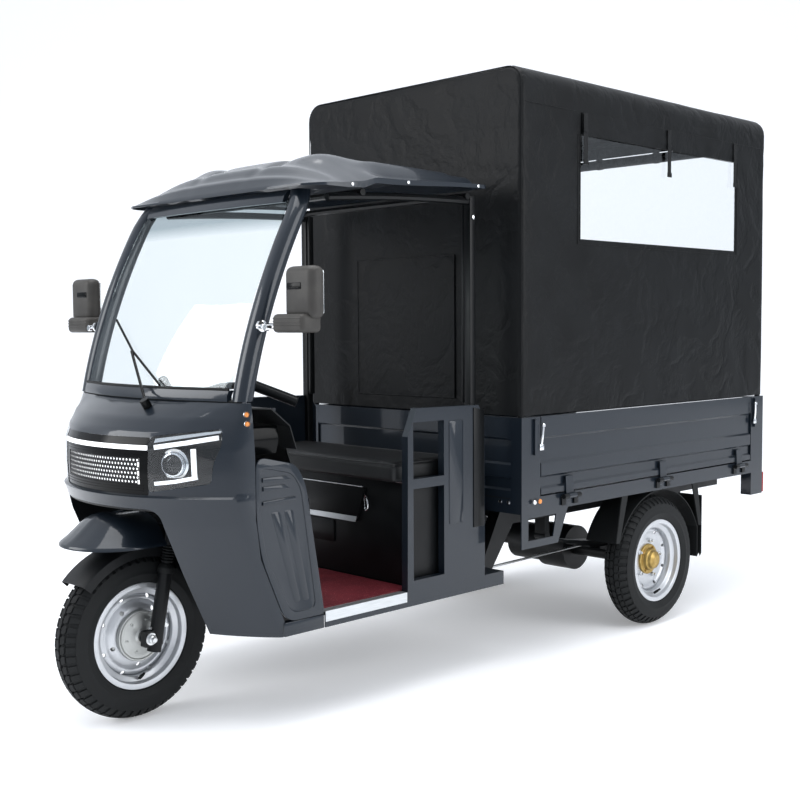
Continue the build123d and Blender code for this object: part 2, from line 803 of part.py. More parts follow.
# Cab pillars and roof bows: two rear pillars and a ring of tube under the roof.
pillar_x = 438.0
pillar_y = -250.0
with BuildPart() as cab_pillars:
    for side in (-1, 1):
        bar(
            [
                (side * pillar_x, pillar_y, floor_top),
                (side * pillar_x, pillar_y, 1672.0),
                (side * pillar_x, -980.0, 1634.0),
            ],
            15.0,
            60.0,
        )
    for y, half, low, high in roof_levels[1:]:
        bow_y = y - (12.5 if y > pillar_y - 100.0 else 0.0)
        bar([(-half + 2.0, bow_y, low - 12.4), (half - 2.0, bow_y, low - 12.4)], 12.0)
save(cab_pillars.part, "cab_pillars")

# Side guards: flat tube frames with two windows beside the seat.
guard_outline = [
    (-595, floor_top),
    (-591, 860),
    (-548, 953),
    (-241, 948),
    (-207, 900),
    (-207, floor_top),
]
with BuildPart() as side_guards:
    for side in (-1, 1):
        x = sorted((side * (cab_half - 28.0), side * cab_half))
        side_profile(guard_outline, x)
        for window in ((717, 906), (377, 684)):
            block((x[0] - 1, x[1] + 1), (-566, -417), window, Mode.SUBTRACT)
        bar([(side * pillar_x, pillar_y, floor_top - 5), (side * pillar_x, pillar_y, 1000)], 15.3, mode=Mode.SUBTRACT)
save(side_guards.part, "side_guards")

# Seat: a hollow box with a bright rail and a flat cushion on top.
with BuildPart() as seat_box:
    block((-seat_width / 2, seat_width / 2), (seat_front + 82, seat_rear - 40), (floor_top, seat_bottom))
    block(
        (-seat_width / 2 + panel, seat_width / 2 - panel),
        (seat_front + 82 + panel, seat_rear - 40 - panel),
        (floor_top - 1, seat_bottom - panel),
        Mode.SUBTRACT,
    )
save(seat_box.part, "seat_box")
with BuildPart() as seat_cushion:
    block((-seat_width / 2, seat_width / 2), (seat_front, seat_rear - 40), (seat_bottom, seat_top))
    fillet(seat_cushion.edges(), 14.0)
save(seat_cushion.part, "seat_cushion")

# Mirrors: an arm from each screen pillar and a deep plastic head.
mirror_x = 603.0
mirror_y = -1133.0
mirror_z = 1303.0
mirror_width = 130.0
mirror_height = 192.0
with BuildPart() as mirrors:
    for side in (-1, 1):
        head = sorted((side * (mirror_x - mirror_width / 2), side * (mirror_x + mirror_width / 2)))
        with BuildSketch(Plane.XZ.offset(-mirror_y + 22.0)) as face:
            with Locations((side * mirror_x, mirror_z)):
                RectangleRounded(mirror_width, mirror_height, 24.0)
        extrude(face.sketch, amount=-44.0)
        bar(
            [
                (side * (screen_width / 2 + 0.3), -1188.0, 1228.0),
                (side * (screen_width / 2 + 40.0), -1188.0, 1228.0),
                (side * (mirror_x - 20.0), mirror_y, 1240.0),
            ],
            8.0,
            20.0,
        )
save(mirrors.part, "mirrors")

# Controls on the floor: a hand-brake lever and a foot pedal.
with BuildPart() as floor_controls:
    bar([(-300, -700, floor_top + mat_thick), (-300, -700, 560), (-300, -760, 690)], 10.0, 30.0)
    block((60, 130), (firewall_y + 26.3, firewall_y + 38.0), (floor_top + mat_thick, 440))
save(floor_controls.part, "floor_controls")

# Cargo bed: sheet floor on a frame of sills, cross members and corner posts.
sill_inner = bed_half - sill_width
with BuildPart() as bed_floor:
    block((-sill_inner, sill_inner), (bed_front, bed_rear), (bed_floor_top - bed_sheet, bed_floor_top))
    for index in range(9):
        y = bed_front + 110.0 + index * (bed_length - 220.0) / 8
        block((-sill_inner + 20, sill_inner - 20), (y - 25, y + 25), (bed_floor_top, bed_floor_top + 4.0))
save(bed_floor.part, "bed_floor")

bracket_drop = 125.0
latch_depth = 9.0
with BuildPart() as bed_frame:
    for side in (-1, 1):
        x = sorted((side * sill_inner, side * bed_half))
        block(x, (bed_front, bed_rear), (sill_bottom, bed_floor_top))
        for start in (bed_front, bed_rear - post_length):
            block(x, (start, start + post_length), (bed_floor_top, board_top))
        skin = sorted((side * (bed_half - 5.0), side * bed_half))
        side_profile(
            [
                (bed_front, sill_bottom),
                (bed_front + 268.0, sill_bottom),
                (bed_front + 209.0, sill_bottom - bracket_drop),
                (bed_front, sill_bottom - bracket_drop),
            ],
            skin,
        )
        side_profile(
            [
                (bed_front + 38.0, sill_bottom - 18.0),
                (bed_front + 198.0, sill_bottom - 18.0),
                (bed_front + 180.0, sill_bottom - 98.0),
                (bed_front + 38.0, sill_bottom - 98.0),
            ],
            skin,
            mode=Mode.SUBTRACT,
        )
        block(x, (bed_rear - 100.0, bed_rear), (sill_bottom - 100.0, sill_bottom))
        latch = sorted((side * bed_half, side * (bed_half + latch_depth)))
        for middle in (bed_front + 0.72 * post_length, bed_rear - 0.72 * post_length):
            block(latch, (middle - 11.0, middle + 11.0), (board_top - 136.0, board_top - 8.0))
    for index in range(6):
        y = bed_front + index * (bed_length - 50.0) / 5
        block((-sill_inner, sill_inner), (y, y + 50.0), (sill_bottom, bed_floor_top - bed_sheet))
save(bed_frame.part, "bed_frame")

def ribbed_board():
    """Section of a pressed board in its own plane: v up from the floor, w outward."""
    depth = board_thickness
    groove = 8.0
    points = [(0, 0), (depth, 0)]
    for low, high in ((34, 66), (126, 206)):
        points += [(depth, low - 8), (depth - groove, low), (depth - groove, high), (depth, high + 8)]
    points += [(depth, board_height), (0, board_height)]
    return points


with BuildPart() as bed_headboard:
    points = [(bed_front + board_thickness - w, bed_floor_top + v) for w, v in ribbed_board()]
    side_profile(points, (-sill_inner + 0.3, sill_inner - 0.3))
save(bed_headboard.part, "bed_headboard")


board_clear = 5.0
side_board_length = bed_length - 2 * post_length - 2 * board_clear
hinge_stations = [bed_front + share * bed_length for share in (0.159, 0.5215, 0.875)]
board_low = 6.0
knuckle_half = hinge_width / 2 - 26.0
pin_bore = hinge_pin_radius + running_gap
strap_outline = [
    (-2.0, bed_floor_top + 8.0),
    (-2.0, bed_floor_top + 60.0),
    (4.0, bed_floor_top + 60.0),
    (7.0, hinge_z),
    (1.0, hinge_z),
    (1.0, bed_floor_top + 8.0),
]
for side, name in ((1, "side_board_left"), (-1, "side_board_right")):
    with BuildPart() as board:
        inner = bed_half - board_thickness
        points = [
            (side * (inner + w), bed_floor_top + (v if v > 0 else board_low)) for w, v in ribbed_board()
        ]
        start = bed_front + post_length + board_clear
        front_profile(points, (start, start + side_board_length))
        for y in hinge_stations:
            strap = [(side * (bed_half + out), z) for out, z in strap_outline]
            front_profile(strap, (y - knuckle_half, y + knuckle_half))
            disc((side * hinge_x, y, hinge_z), (0, 1, 0), hinge_radius, 2 * knuckle_half)
            disc((side * hinge_x, y, hinge_z), (0, 1, 0), pin_bore, hinge_width, mode=Mode.SUBTRACT)
    save(board.part, name)

with BuildPart() as bed_hinges:
    for side in (-1, 1):
        for y in hinge_stations:
            disc((side * hinge_x, y, hinge_z), (0, 1, 0), hinge_pin_radius, hinge_width)
            for end in (-1, 1):
                middle = y + end * (hinge_width / 2 - 12.0)
                disc((side * hinge_x, middle, hinge_z), (0, 1, 0), hinge_radius, 24.0)
                leaf = sorted((side * bed_half, side * (hinge_x - hinge_radius + 1.0)))
                block(leaf, (middle - 12.0, middle + 12.0), (sill_bottom + 10.0, hinge_z))
save(bed_hinges.part, "bed_hinges")

tail_hinge_y = bed_rear + hinge_stand_off
tail_stations = (-360.0, 0.0, 360.0)
tail_width = bed_width - 2 * (sill_width + board_clear)
with BuildPart() as tailgate:
    points = [
        (bed_rear - board_thickness + w, bed_floor_top + (v if v > 0 else board_low)) for w, v in ribbed_board()
    ]
    side_profile(points, (-tail_width / 2, tail_width / 2))
    for x in tail_stations:
        side_profile([(bed_rear + out, z) for out, z in strap_outline], (x - knuckle_half, x + knuckle_half))
        disc((x, tail_hinge_y, hinge_z), (1, 0, 0), hinge_radius, 2 * knuckle_half)
        disc((x, tail_hinge_y, hinge_z), (1, 0, 0), pin_bore, hinge_width, mode=Mode.SUBTRACT)
save(tailgate.part, "tailgate")
with BuildPart() as tail_hinges:
    for x in tail_stations:
        disc((x, tail_hinge_y, hinge_z), (1, 0, 0), hinge_pin_radius, hinge_width)
        for end in (-1, 1):
            middle = x + end * (hinge_width / 2 - 12.0)
            disc((middle, tail_hinge_y, hinge_z), (1, 0, 0), hinge_radius, 24.0)
            block((middle - 12.0, middle + 12.0), (bed_rear, tail_hinge_y - hinge_radius + 1.0), (sill_bottom + 10.0, hinge_z))
save(tail_hinges.part, "tail_hinges")

# Canopy: bent tube hoops on the posts and a fabric cover with side windows.
canopy_low = board_top + canopy_gap
canopy_half = bed_half - 1.0
cover_y = (bed_front + 1.0, bed_rear - 1.0)
window_y = (bed_front + 342.0, bed_rear - 269.0)
window_z = (1540.0, 1920.0)
flap_top = 2001.0
flap_thick = 12.0
rear_opening_half = 470.0
rear_opening_top = 2050.0
roll_radius = 26.0
with BuildPart() as canopy_frame:
    frame_half = canopy_half - canopy_skin - canopy_tube - 0.3
    ends = (cover_y[0] + canopy_skin + canopy_tube + 0.3, cover_y[1] - canopy_skin - canopy_tube - 0.3)
    middle_y = (ends[0] + ends[1]) / 2
    top = canopy_top - canopy_skin - canopy_tube - 0.3
    for y in (ends[0], ends[1]):
        bar(
            [(-frame_half, y, board_top), (-frame_half, y, top), (frame_half, y, top), (frame_half, y, board_top)],
            canopy_tube,
            canopy_round - canopy_skin - canopy_tube,
        )
    for x in (-frame_half + 60.0, 0.0, frame_half - 60.0):
        bar([(x, ends[0], top), (x, ends[1], top)], canopy_tube - 2.0)
    bar([(-frame_half + 60, middle_y, top), (frame_half - 60, middle_y, top)], canopy_tube - 2.0)
save(canopy_frame.part, "canopy_frame")

with BuildPart() as canopy_cover:
    block((-canopy_half, canopy_half), cover_y, (canopy_low, canopy_top))
    fillet(canopy_cover.edges().filter_by(Axis.Y).group_by(Axis.Z)[-1], canopy_round)
    fillet(canopy_cover.edges().filter_by(Axis.Z), 20.0)
    with BuildSketch(Plane.XY.offset(canopy_low - 1.0)) as core:
        with Locations((0, (cover_y[0] + cover_y[1]) / 2)):
            Rectangle(2 * (canopy_half - canopy_skin), cover_y[1] - cover_y[0] - 2 * canopy_skin)
    extrude(core.sketch, amount=canopy_top - canopy_round - canopy_low, mode=Mode.SUBTRACT)
    with BuildSketch(Plane.XZ.offset(-cover_y[1] + canopy_skin)) as vault:
        with Locations((0, canopy_top - canopy_skin - 300.0)):
            Rectangle(2 * (canopy_half - canopy_skin), 600.0)
        fillet(vault.vertices().group_by(Axis.Z)[-1], canopy_round - canopy_skin)
    extrude(vault.sketch, amount=cover_y[1] - cover_y[0] - 2 * canopy_skin, mode=Mode.SUBTRACT)
    block((-canopy_half - 1, canopy_half + 1), window_y, window_z, Mode.SUBTRACT)
    block(
        (-rear_opening_half, rear_opening_half),
        (cover_y[1] - canopy_skin - 1, cover_y[1] + 1),
        (canopy_low - 1, rear_opening_top),
        Mode.SUBTRACT,
    )
save(canopy_cover.part, "canopy_cover")

# The window flaps, folded up over each side window, and the rear curtain, rolled up.
with BuildPart() as window_flaps:
    for side in (-1, 1):
        x = sorted((side * (canopy_half + 0.3), side * (canopy_half + 0.3 + flap_thick)))
        block(x, window_y, (window_z[1] - 2.0, flap_top))
    fillet(window_flaps.edges().filter_by(Axis.Y), 0.4 * flap_thick)
save(window_flaps.part, "window_flaps")
with BuildPart() as rear_curtain:
    disc(
        (0, cover_y[1] - canopy_skin / 2, rear_opening_top - roll_radius - 0.3),
        (1, 0, 0),
        roll_radius,
        2 * rear_opening_half,
    )
save(rear_curtain.part, "rear_curtain")

# Rear axle: a beam with the motor housing, two leaf springs and their hangers.
spring_x = rail_x
spring_half = 470.0
spring_eye_z = 400.0
spring_leaf = 7.0
with BuildPart() as rear_axle:
    beam_half = wheel_x + drum_back - 6.0
    bar([(-beam_half, rear_axle_y, tyre_radius), (beam_half, rear_axle_y, tyre_radius)], 30.0)
    disc((70.0, rear_axle_y, tyre_radius), (1, 0, 0), 95.0, 150.0)
    disc((-90.0, rear_axle_y, tyre_radius), (1, 0, 0), 80.0, 170.0)
    for side in (-1, 1):
        tip = side * (wheel_x + drum_back + 55.0)
        bar([(side * (beam_half - 10), rear_axle_y, tyre_radius), (tip, rear_axle_y, tyre_radius)], half_shaft_radius)
        disc((side * (beam_half - 5.0), rear_axle_y, tyre_radius), (1, 0, 0), 84.0, 9.0)
        block(
            (side * spring_x - 30.0, side * spring_x + 30.0),
            (rear_axle_y - 45.0, rear_axle_y + 45.0),
            (tyre_radius + 20.0, tyre_radius + 44.0),
        )
save(rear_axle.part, "rear_axle")

leaf_counts = (1.0, 0.8, 0.6, 0.42)
with BuildPart() as leaf_springs:
    for side in (-1, 1):
        for index, share in enumerate(leaf_counts):
            half = spring_half * share
            rise = spring_eye_z - (tyre_radius + 44.0 + spring_leaf * len(leaf_counts))
            base = tyre_radius + 44.0 + spring_leaf * (len(leaf_counts) - 1 - index)
            with BuildSketch(Plane.YZ.offset(side * spring_x - 27.0)) as leaf:
                with BuildLine():
                    low = ThreePointArc(
                        (rear_axle_y - half, base + rise * share**2),
                        (rear_axle_y, base),
                        (rear_axle_y + half, base + rise * share**2),
                    )
                    edge = Line(low @ 1, (rear_axle_y + half, base + rise * share**2 + spring_leaf))
                    high = ThreePointArc(
                        edge @ 1, (rear_axle_y, base + spring_leaf), (rear_axle_y - half, base + rise * share**2 + spring_leaf)
                    )
                    Line(high @ 1, low @ 0)
                make_face()
            extrude(leaf.sketch, amount=54.0)
        for end in (-1, 1):
            eye_y = rear_axle_y + end * (spring_half + 4.0)
            disc((side * spring_x, eye_y, spring_eye_z + 2.0), (1, 0, 0), 16.0, 54.0)
            block(
                (side * spring_x - 25.0, side * spring_x + 25.0),
                (eye_y - 14.0, eye_y + 14.0),
                (spring_eye_z, rail_high - bed_rail_depth),
            )
save(leaf_springs.part, "leaf_springs")

# Mudguards: quarter-round skirts over the rear wheels with a hanging flap.
guard_radius = tyre_radius + 42.0
with BuildPart() as mudguards:
    for side in (-1, 1):
        x = sorted((side * 405.0, side * 563.0))
        with BuildSketch(Plane.YZ.offset(x[0])) as arch:
            with BuildLine():
                outer = ThreePointArc(
                    (rear_axle_y - guard_radius * 0.94, tyre_radius + guard_radius * 0.34),
                    (rear_axle_y, sill_bottom - 0.3),
                    (rear_axle_y + guard_radius * 0.94, tyre_radius + guard_radius * 0.34),
                )
                edge = Line(outer @ 1, (rear_axle_y + guard_radius * 0.94 - 4, tyre_radius + guard_radius * 0.34))
                inner = ThreePointArc(
                    edge @ 1,
                    (rear_axle_y, sill_bottom - 4.3),
                    (rear_axle_y - guard_radius * 0.94 + 4, tyre_radius + guard_radius * 0.34),
                )
                Line(inner @ 1, outer @ 0)
            make_face()
        extrude(arch.sketch, amount=x[1] - x[0])
        block(x, (rear_axle_y + 285.0, rear_axle_y + 289.0), (240.0, 372.0))
        plate = sorted((side * 563.0, side * 568.0))
        for top, foot in ((-236.0, -289.0), (236.0, 289.0)):
            lean = 40.0 if foot > 0 else -40.0
            side_profile(
                [
                    (rear_axle_y + top, sill_bottom - 0.3),
                    (rear_axle_y + top + lean, sill_bottom - 0.3),
                    (rear_axle_y + foot + 0.6 * lean, tyre_radius + 110.0),
                    (rear_axle_y + foot, tyre_radius + 110.0),
                ],
                plate,
            )
save(mudguards.part, "mudguards")

# Tail lamps on the rear cross member.
with BuildPart() as tail_lamps:
    for side in (-1, 1):
        x = sorted((side * (sill_inner + 4.0), side * (bed_half - 4.0)))
        block(x, (bed_rear, bed_rear + 20.0), (sill_bottom - 96.0, sill_bottom - 6.0))
save(tail_lamps.part, "tail_lamps")

# Brake rod from the pedal back to the rear axle.
with BuildPart() as brake_rod:
    bar([(240.0, -560.0, rail_low - 5.3), (240.0, bed_front, rail_low - 5.3), (240.0, rear_axle_y - 84.0, 300.0)], 5.0)
save(brake_rod.part, "brake_rod")
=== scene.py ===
import math

import bmesh
import bpy
from mathutils import Matrix, Vector, noise


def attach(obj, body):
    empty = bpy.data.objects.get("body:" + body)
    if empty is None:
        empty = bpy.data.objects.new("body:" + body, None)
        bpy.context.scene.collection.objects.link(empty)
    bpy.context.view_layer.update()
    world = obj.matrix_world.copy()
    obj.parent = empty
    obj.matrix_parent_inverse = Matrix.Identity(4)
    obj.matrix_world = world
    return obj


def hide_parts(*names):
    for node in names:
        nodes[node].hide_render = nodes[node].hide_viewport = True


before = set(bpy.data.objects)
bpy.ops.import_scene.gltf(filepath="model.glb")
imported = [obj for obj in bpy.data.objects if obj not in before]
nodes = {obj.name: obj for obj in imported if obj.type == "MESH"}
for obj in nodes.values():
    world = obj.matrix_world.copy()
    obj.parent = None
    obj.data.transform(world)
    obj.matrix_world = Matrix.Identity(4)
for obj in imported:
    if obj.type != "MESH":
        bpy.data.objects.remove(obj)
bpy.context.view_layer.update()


# The studio: one pale sheet that runs back and up behind the vehicle, and a camera
# at standing chest height off the front left corner, as in the photograph.
def linear(hex_colour):
    """An sRGB hex value as linear light with full alpha."""
    channels = [int(hex_colour[i : i + 2], 16) / 255 for i in (1, 3, 5)]
    return [c / 12.92 if c <= 0.04045 else ((c + 0.055) / 1.055) ** 2.4 for c in channels] + [1.0]


def add_node(tree, kind, sockets=None, tones=(), **settings):
    """Add a node, its settings and its ramp's tones.

    A socket takes a constant, another node's output, or a node for its first output.
    """
    made = tree.nodes.new(kind)
    for name, value in settings.items():
        setattr(made, name, value)
    for stop, hex_colour in enumerate(tones):
        made.color_ramp.elements[stop].color = linear(hex_colour)
    for name, value in (sockets or {}).items():
        if isinstance(value, bpy.types.Node):
            value = value.outputs[0]
        if isinstance(value, bpy.types.NodeSocket):
            tree.links.new(value, made.inputs[name])
        else:
            made.inputs[name].default_value = value
    return made


def new_material(name):
    """An empty material, and the tree to build it in."""
    made = bpy.data.materials.new(name)
    made.use_nodes = True
    made.node_tree.nodes.clear()
    return made, made.node_tree


def close_material(tree, sockets):
    """End a material in one principled surface."""
    surface = add_node(tree, "ShaderNodeBsdfPrincipled", {"Specular IOR Level": 0.22, **sockets})
    add_node(tree, "ShaderNodeOutputMaterial", {"Surface": surface})


def mesh_piece(name, vertices, faces, material, sharp_deg=35.0):
    """A mesh object with smooth faces, sharp where its faces meet at a real corner."""
    mesh = bpy.data.meshes.new(name)
    mesh.from_pydata([tuple(v) for v in vertices], [], faces)
    mesh.materials.append(material)
    made = bpy.data.objects.new(name, mesh)
    bpy.context.scene.collection.objects.link(made)
    soften(mesh, sharp_deg)
    return made


def soften(mesh, sharp_deg):
    """Smooth shading with edges sharp past an angle, after the faces agree on outside."""
    shape = bmesh.new()
    shape.from_mesh(mesh)
    bmesh.ops.recalc_face_normals(shape, faces=shape.faces)
    for face in shape.faces:
        face.smooth = True
    for edge in shape.edges:
        if len(edge.link_faces) == 2:
            edge.smooth = edge.calc_face_angle(math.pi) < math.radians(sharp_deg)
    shape.to_mesh(mesh)
    shape.free()


paper, tree = new_material("matt_white_backdrop")
close_material(tree, {
    "Base Color": linear(
        "#f4f5f7",
    ), "Roughness": 0.9, "Emission Color": linear("#ffffff"), "Emission Strength": 0.22,
})

floor_half = 14.0
sweep_back = 7.0
sweep_radius = 3.0
profile = [(-floor_half, 0.0), (sweep_back, 0.0)]
for step in range(1, 13):
    angle = math.radians(90 * step / 12)
    profile.append((sweep_back + sweep_radius * math.sin(angle), sweep_radius * (1 - math.cos(angle))))
profile.append((sweep_back + sweep_radius, 9.0))
vertices = [(x, y, z) for x in (-floor_half, floor_half) for y, z in profile]
count = len(profile)
faces = [(i, i + 1, i + 1 + count, i + count) for i in range(count - 1)]
sweep = mesh_piece("backdrop", vertices, faces, paper)
sweep.rotation_euler = (0, 0, math.radians(45.2))

camera_place = Vector((3.1873, -3.3269, 1.2279))
camera_azimuth = math.radians(45.2)
camera_fall = math.radians(3.64)
camera_roll = math.radians(-0.33)
back = Vector((
    math.sin(camera_azimuth) * math.cos(camera_fall),
    -math.cos(camera_azimuth) * math.cos(camera_fall),
    math.sin(camera_fall),
))
level = Vector((math.cos(camera_azimuth), math.sin(camera_azimuth), 0))
upward = back.cross(level)
right = level * math.cos(camera_roll) + upward * math.sin(camera_roll)
upward = upward * math.cos(camera_roll) - level * math.sin(camera_roll)
lens = bpy.data.cameras.new("photo_camera")
lens.sensor_width = 36.0
lens.lens = 52.94
camera = bpy.data.objects.new("photo_camera", lens)
camera.matrix_world = Matrix((
    (right.x, upward.x, back.x, camera_place.x),
    (right.y, upward.y, back.y, camera_place.y),
    (right.z, upward.z, back.z, camera_place.z),
    (0, 0, 0, 1),
))
bpy.context.scene.collection.objects.link(camera)
bpy.context.scene.camera = camera

bpy.context.scene.view_settings.view_transform = "Standard"
world = bpy.data.worlds.new("white_room")
world.use_nodes = True
world.node_tree.nodes.clear()
sky = add_node(world.node_tree, "ShaderNodeTexCoord")
rise = add_node(world.node_tree, "ShaderNodeSeparateXYZ", {"Vector": sky.outputs["Generated"]})
# The walls of the room are a little greyer low down than above, so that gloss has form.
walls = add_node(
    world.node_tree, "ShaderNodeValToRGB", {"Fac": rise.outputs["Z"]}, tones=("#b4bcc5", "#eef3fb"),
)
walls.color_ramp.elements[0].position = 0.02
walls.color_ramp.elements[1].position = 0.42
room = add_node(world.node_tree, "ShaderNodeBackground", {"Color": walls, "Strength": 0.95})
add_node(world.node_tree, "ShaderNodeOutputWorld", {"Surface": room})
bpy.context.scene.world = world
for name, place, size, power in (
    ("overhead_panel", (0.3, -0.6, 4.6), 4.0, 190.0),
    ("front_panel", (-2.4, -4.6, 2.6), 2.6, 110.0),
    ("left_panel", (4.6, 1.2, 2.2), 2.8, 90.0),
):
    panel_light = bpy.data.lights.new(name, "AREA")
    panel_light.size = size
    panel_light.energy = power
    lamp = bpy.data.objects.new(name, panel_light)
    lamp.location = place
    lamp.rotation_mode = "QUATERNION"
    lamp.rotation_quaternion = (Vector(place) - Vector((0, 0, 0.8))).to_track_quat("Z", "Y")
    bpy.context.scene.collection.objects.link(lamp)


# Tyres: moulded black rubber with a smooth centre rib, stepped blocks either side and
# lugs that wrap the shoulders. The carcass is a turned ring, the blocks stand on it.
rubber, tree = new_material("moulded_tyre_rubber")
place = add_node(tree, "ShaderNodeTexCoord").outputs["Object"]
# Dust lies in the rubber's pores: the tone drifts over a hand's width.
dust = add_node(tree, "ShaderNodeTexNoise", {"Vector": place, "Scale": 9.0, "Detail": 6.0})
tone = add_node(tree, "ShaderNodeValToRGB", {"Fac": dust}, tones=("#0b0d0e", "#161819"))
# The mould's grain is about 1 mm across, drawn at 1.4 mm so that it shows.
grain = add_node(tree, "ShaderNodeTexNoise", {"Vector": place, "Scale": 700.0, "Detail": 2.0})
skin = add_node(tree, "ShaderNodeBump", {"Height": grain, "Strength": 0.25, "Distance": 0.0006})
close_material(tree, {
    "Base Color": tone, "Roughness": 0.62, "IOR": 1.52, "Normal": skin,
})

tyre_radius = 0.264
rim_edge = 0.1675
tread_half = 0.05
tread_depth = 0.0065
shoulder_drop = 0.022
pitches = 52


def crown(u):
    """Radius of the tread surface at a distance from the tyre's middle plane."""
    return tyre_radius - shoulder_drop * (abs(u) / 0.046) ** 2.2


def turned(profile, centre, segments=96, first=0.0):
    """Vertices and faces of a profile (along the axle, radius) turned about the X axis."""
    rings = len(profile)
    vertices = []
    for step in range(segments):
        angle = first + 2 * math.pi * step / segments
        for u, r in profile:
            vertices.append((centre[0] + u, centre[1] + r * math.sin(angle), centre[2] + r * math.cos(angle)))
    faces = []
    for step in range(segments):
        near = step * rings
        far = (step + 1) % segments * rings
        for ring in range(rings - 1):
            faces.append((near + ring, near + ring + 1, far + ring + 1, far + ring))
    return vertices, faces


def tyre_profile():
    """Closed section of the carcass: tread base, sidewalls with a rim guard line, beads."""
    points = []
    for step in range(17):
        u = -tread_half + 2 * tread_half * step / 16
        points.append((u, crown(u) - tread_depth))
    side = [
        (0.0535, 0.232), (0.0552, 0.221), (0.056, 0.21), (0.0562, 0.2), (0.0572, 0.197), (0.0572, 0.194),
        (0.056, 0.191), (0.0545, 0.184), (0.0515, 0.176), (0.05, 0.1715), (0.046, 0.169), (0.0425, 0.1665),
        (0.0425, 0.153), (0.033, 0.153), (0.044, 0.2), (0.03, 0.24),
    ]
    points += side + [(-u, r) for u, r in reversed(side)]
    return points + [points[0]]


def add_block(vertices, faces, centre, outline):
    """One tread block: an outline of (along the axle, along the tread) carried out to the crown."""
    start = len(vertices)
    size = len(outline)
    middle_u = sum(u for u, s in outline) / size
    middle_s = sum(s for u, s in outline) / size
    for level, shrink in ((tread_depth + 0.0012, 1.0), (0.0012, 0.97), (0.0, 0.9)):
        for u, s in outline:
            u = middle_u + (u - middle_u) * shrink
            s = middle_s + (s - middle_s) * shrink
            r = crown(u) - level
            angle = s / tyre_radius
            vertices.append((centre[0] + u, centre[1] + r * math.sin(angle), centre[2] + r * math.cos(angle)))
    for low in range(2):
        for i in range(size):
            j = (i + 1) % size
            a = start + low * size
            faces.append((a + i, a + j, a + size + j, a + size + i))
    faces.append(tuple(start + 2 * size + i for i in range(size)))


def build_tyre(name, centre, body, node):
    """A carcass ring with its blocks, as one mesh."""
    vertices, faces = turned(tyre_profile(), centre)
    pitch = 2 * math.pi * tyre_radius / pitches
    for index in range(pitches):
        s = index * pitch
        rib = [
            (-0.009, s), (-0.0065, s + 0.25 * pitch), (-0.009, s + 0.5 * pitch),
            (-0.0065, s + 0.94 * pitch),
        ]
        add_block(vertices, faces, centre, rib + [(-u, v) for u, v in reversed(rib)])
        for side in (-1, 1):
            lean = s + (0.5 * pitch if side > 0 else 0.0)
            stepped = [
                (0.0125, 0.05), (0.0125, 0.72), (0.019, 0.92), (0.0275, 0.92), (0.0275, 0.22),
                (0.021, 0.05),
            ]
            lug = [(0.031, 0.1), (0.031, 0.8), (0.04, 0.86), (0.0525, 0.86), (0.0525, 0.3), (0.04, 0.24)]
            for outline in (stepped, lug):
                add_block(vertices, faces, centre, [(side * u, lean + v * pitch) for u, v in outline])
    tyre = mesh_piece(name, vertices, faces, rubber, 30.0)
    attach(tyre, body)
    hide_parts(node)
    return tyre


front_centre = Vector((0.0, -1.351, tyre_radius))
rear_track_half = 0.509
rear_axle = 0.766
left_centre = Vector((rear_track_half, rear_axle, tyre_radius))
right_centre = Vector((-rear_track_half, rear_axle, tyre_radius))
build_tyre("front_tyre_tread", front_centre, "front_wheel", "front_tyre")
build_tyre("rear_tyre_tread_left", left_centre, "rear_wheel_left", "rear_tyre_left")
build_tyre("rear_tyre_tread_right", right_centre, "rear_wheel_right", "rear_tyre_right")


# Wheel rims: channels rolled from steel strip with a pressed disc welded in, sprayed with
# silver paint. The front disc stands near the rim's edge, the rear discs lie deep.
silver_paint, tree = new_material("silver_sprayed_pressed_steel")
place = add_node(tree, "ShaderNodeTexCoord").outputs["Object"]
# Sprayed aluminium flake gives a fine sparkle, about 0.5 mm across.
flake = add_node(tree, "ShaderNodeTexVoronoi", {"Vector": place, "Scale": 1800.0})
sparkle = add_node(tree, "ShaderNodeValToRGB", {"Fac": flake}, tones=("#d4d6d9", "#b3b6ba"))
road_film = add_node(tree, "ShaderNodeTexNoise", {"Vector": place, "Scale": 22.0, "Detail": 5.0})
dulling = add_node(tree, "ShaderNodeMapRange", {
    "Value": road_film, "From Min": 0.35, "From Max": 0.7, "To Min": 0.28, "To Max": 0.46,
})
peel = add_node(tree, "ShaderNodeBump", {"Height": flake, "Strength": 0.08, "Distance": 0.0003})
close_material(tree, {
    "Base Color": sparkle, "Metallic": 0.75, "Roughness": dulling,
    "Normal": peel,
})

brass, tree = new_material("yellow_passivated_zinc_on_cast_hub")
place = add_node(tree, "ShaderNodeTexCoord").outputs["Object"]
patch = add_node(tree, "ShaderNodeTexNoise", {"Vector": place, "Scale": 60.0, "Detail": 6.0})
# Passivation drifts from straw to brown over a few millimetres.
tint = add_node(tree, "ShaderNodeValToRGB", {"Fac": patch}, tones=("#7d6436", "#cdb06c"))
cast = add_node(tree, "ShaderNodeBump", {"Height": patch, "Strength": 0.3, "Distance": 0.001})
close_material(tree, {
    "Base Color": tint, "Metallic": 0.9, "Roughness": 0.38, "Normal": cast,
})

zinc, tree = new_material("bright_zinc_plated_steel")
place = add_node(tree, "ShaderNodeTexCoord").outputs["Object"]
spangle = add_node(tree, "ShaderNodeTexNoise", {"Vector": place, "Scale": 150.0, "Detail": 3.0})
shine = add_node(tree, "ShaderNodeMapRange", {"Value": spangle, "To Min": 0.2, "To Max": 0.4})
close_material(tree, {"Base Color": linear("#cfd1d2"), "Metallic": 1.0, "Roughness": shine})


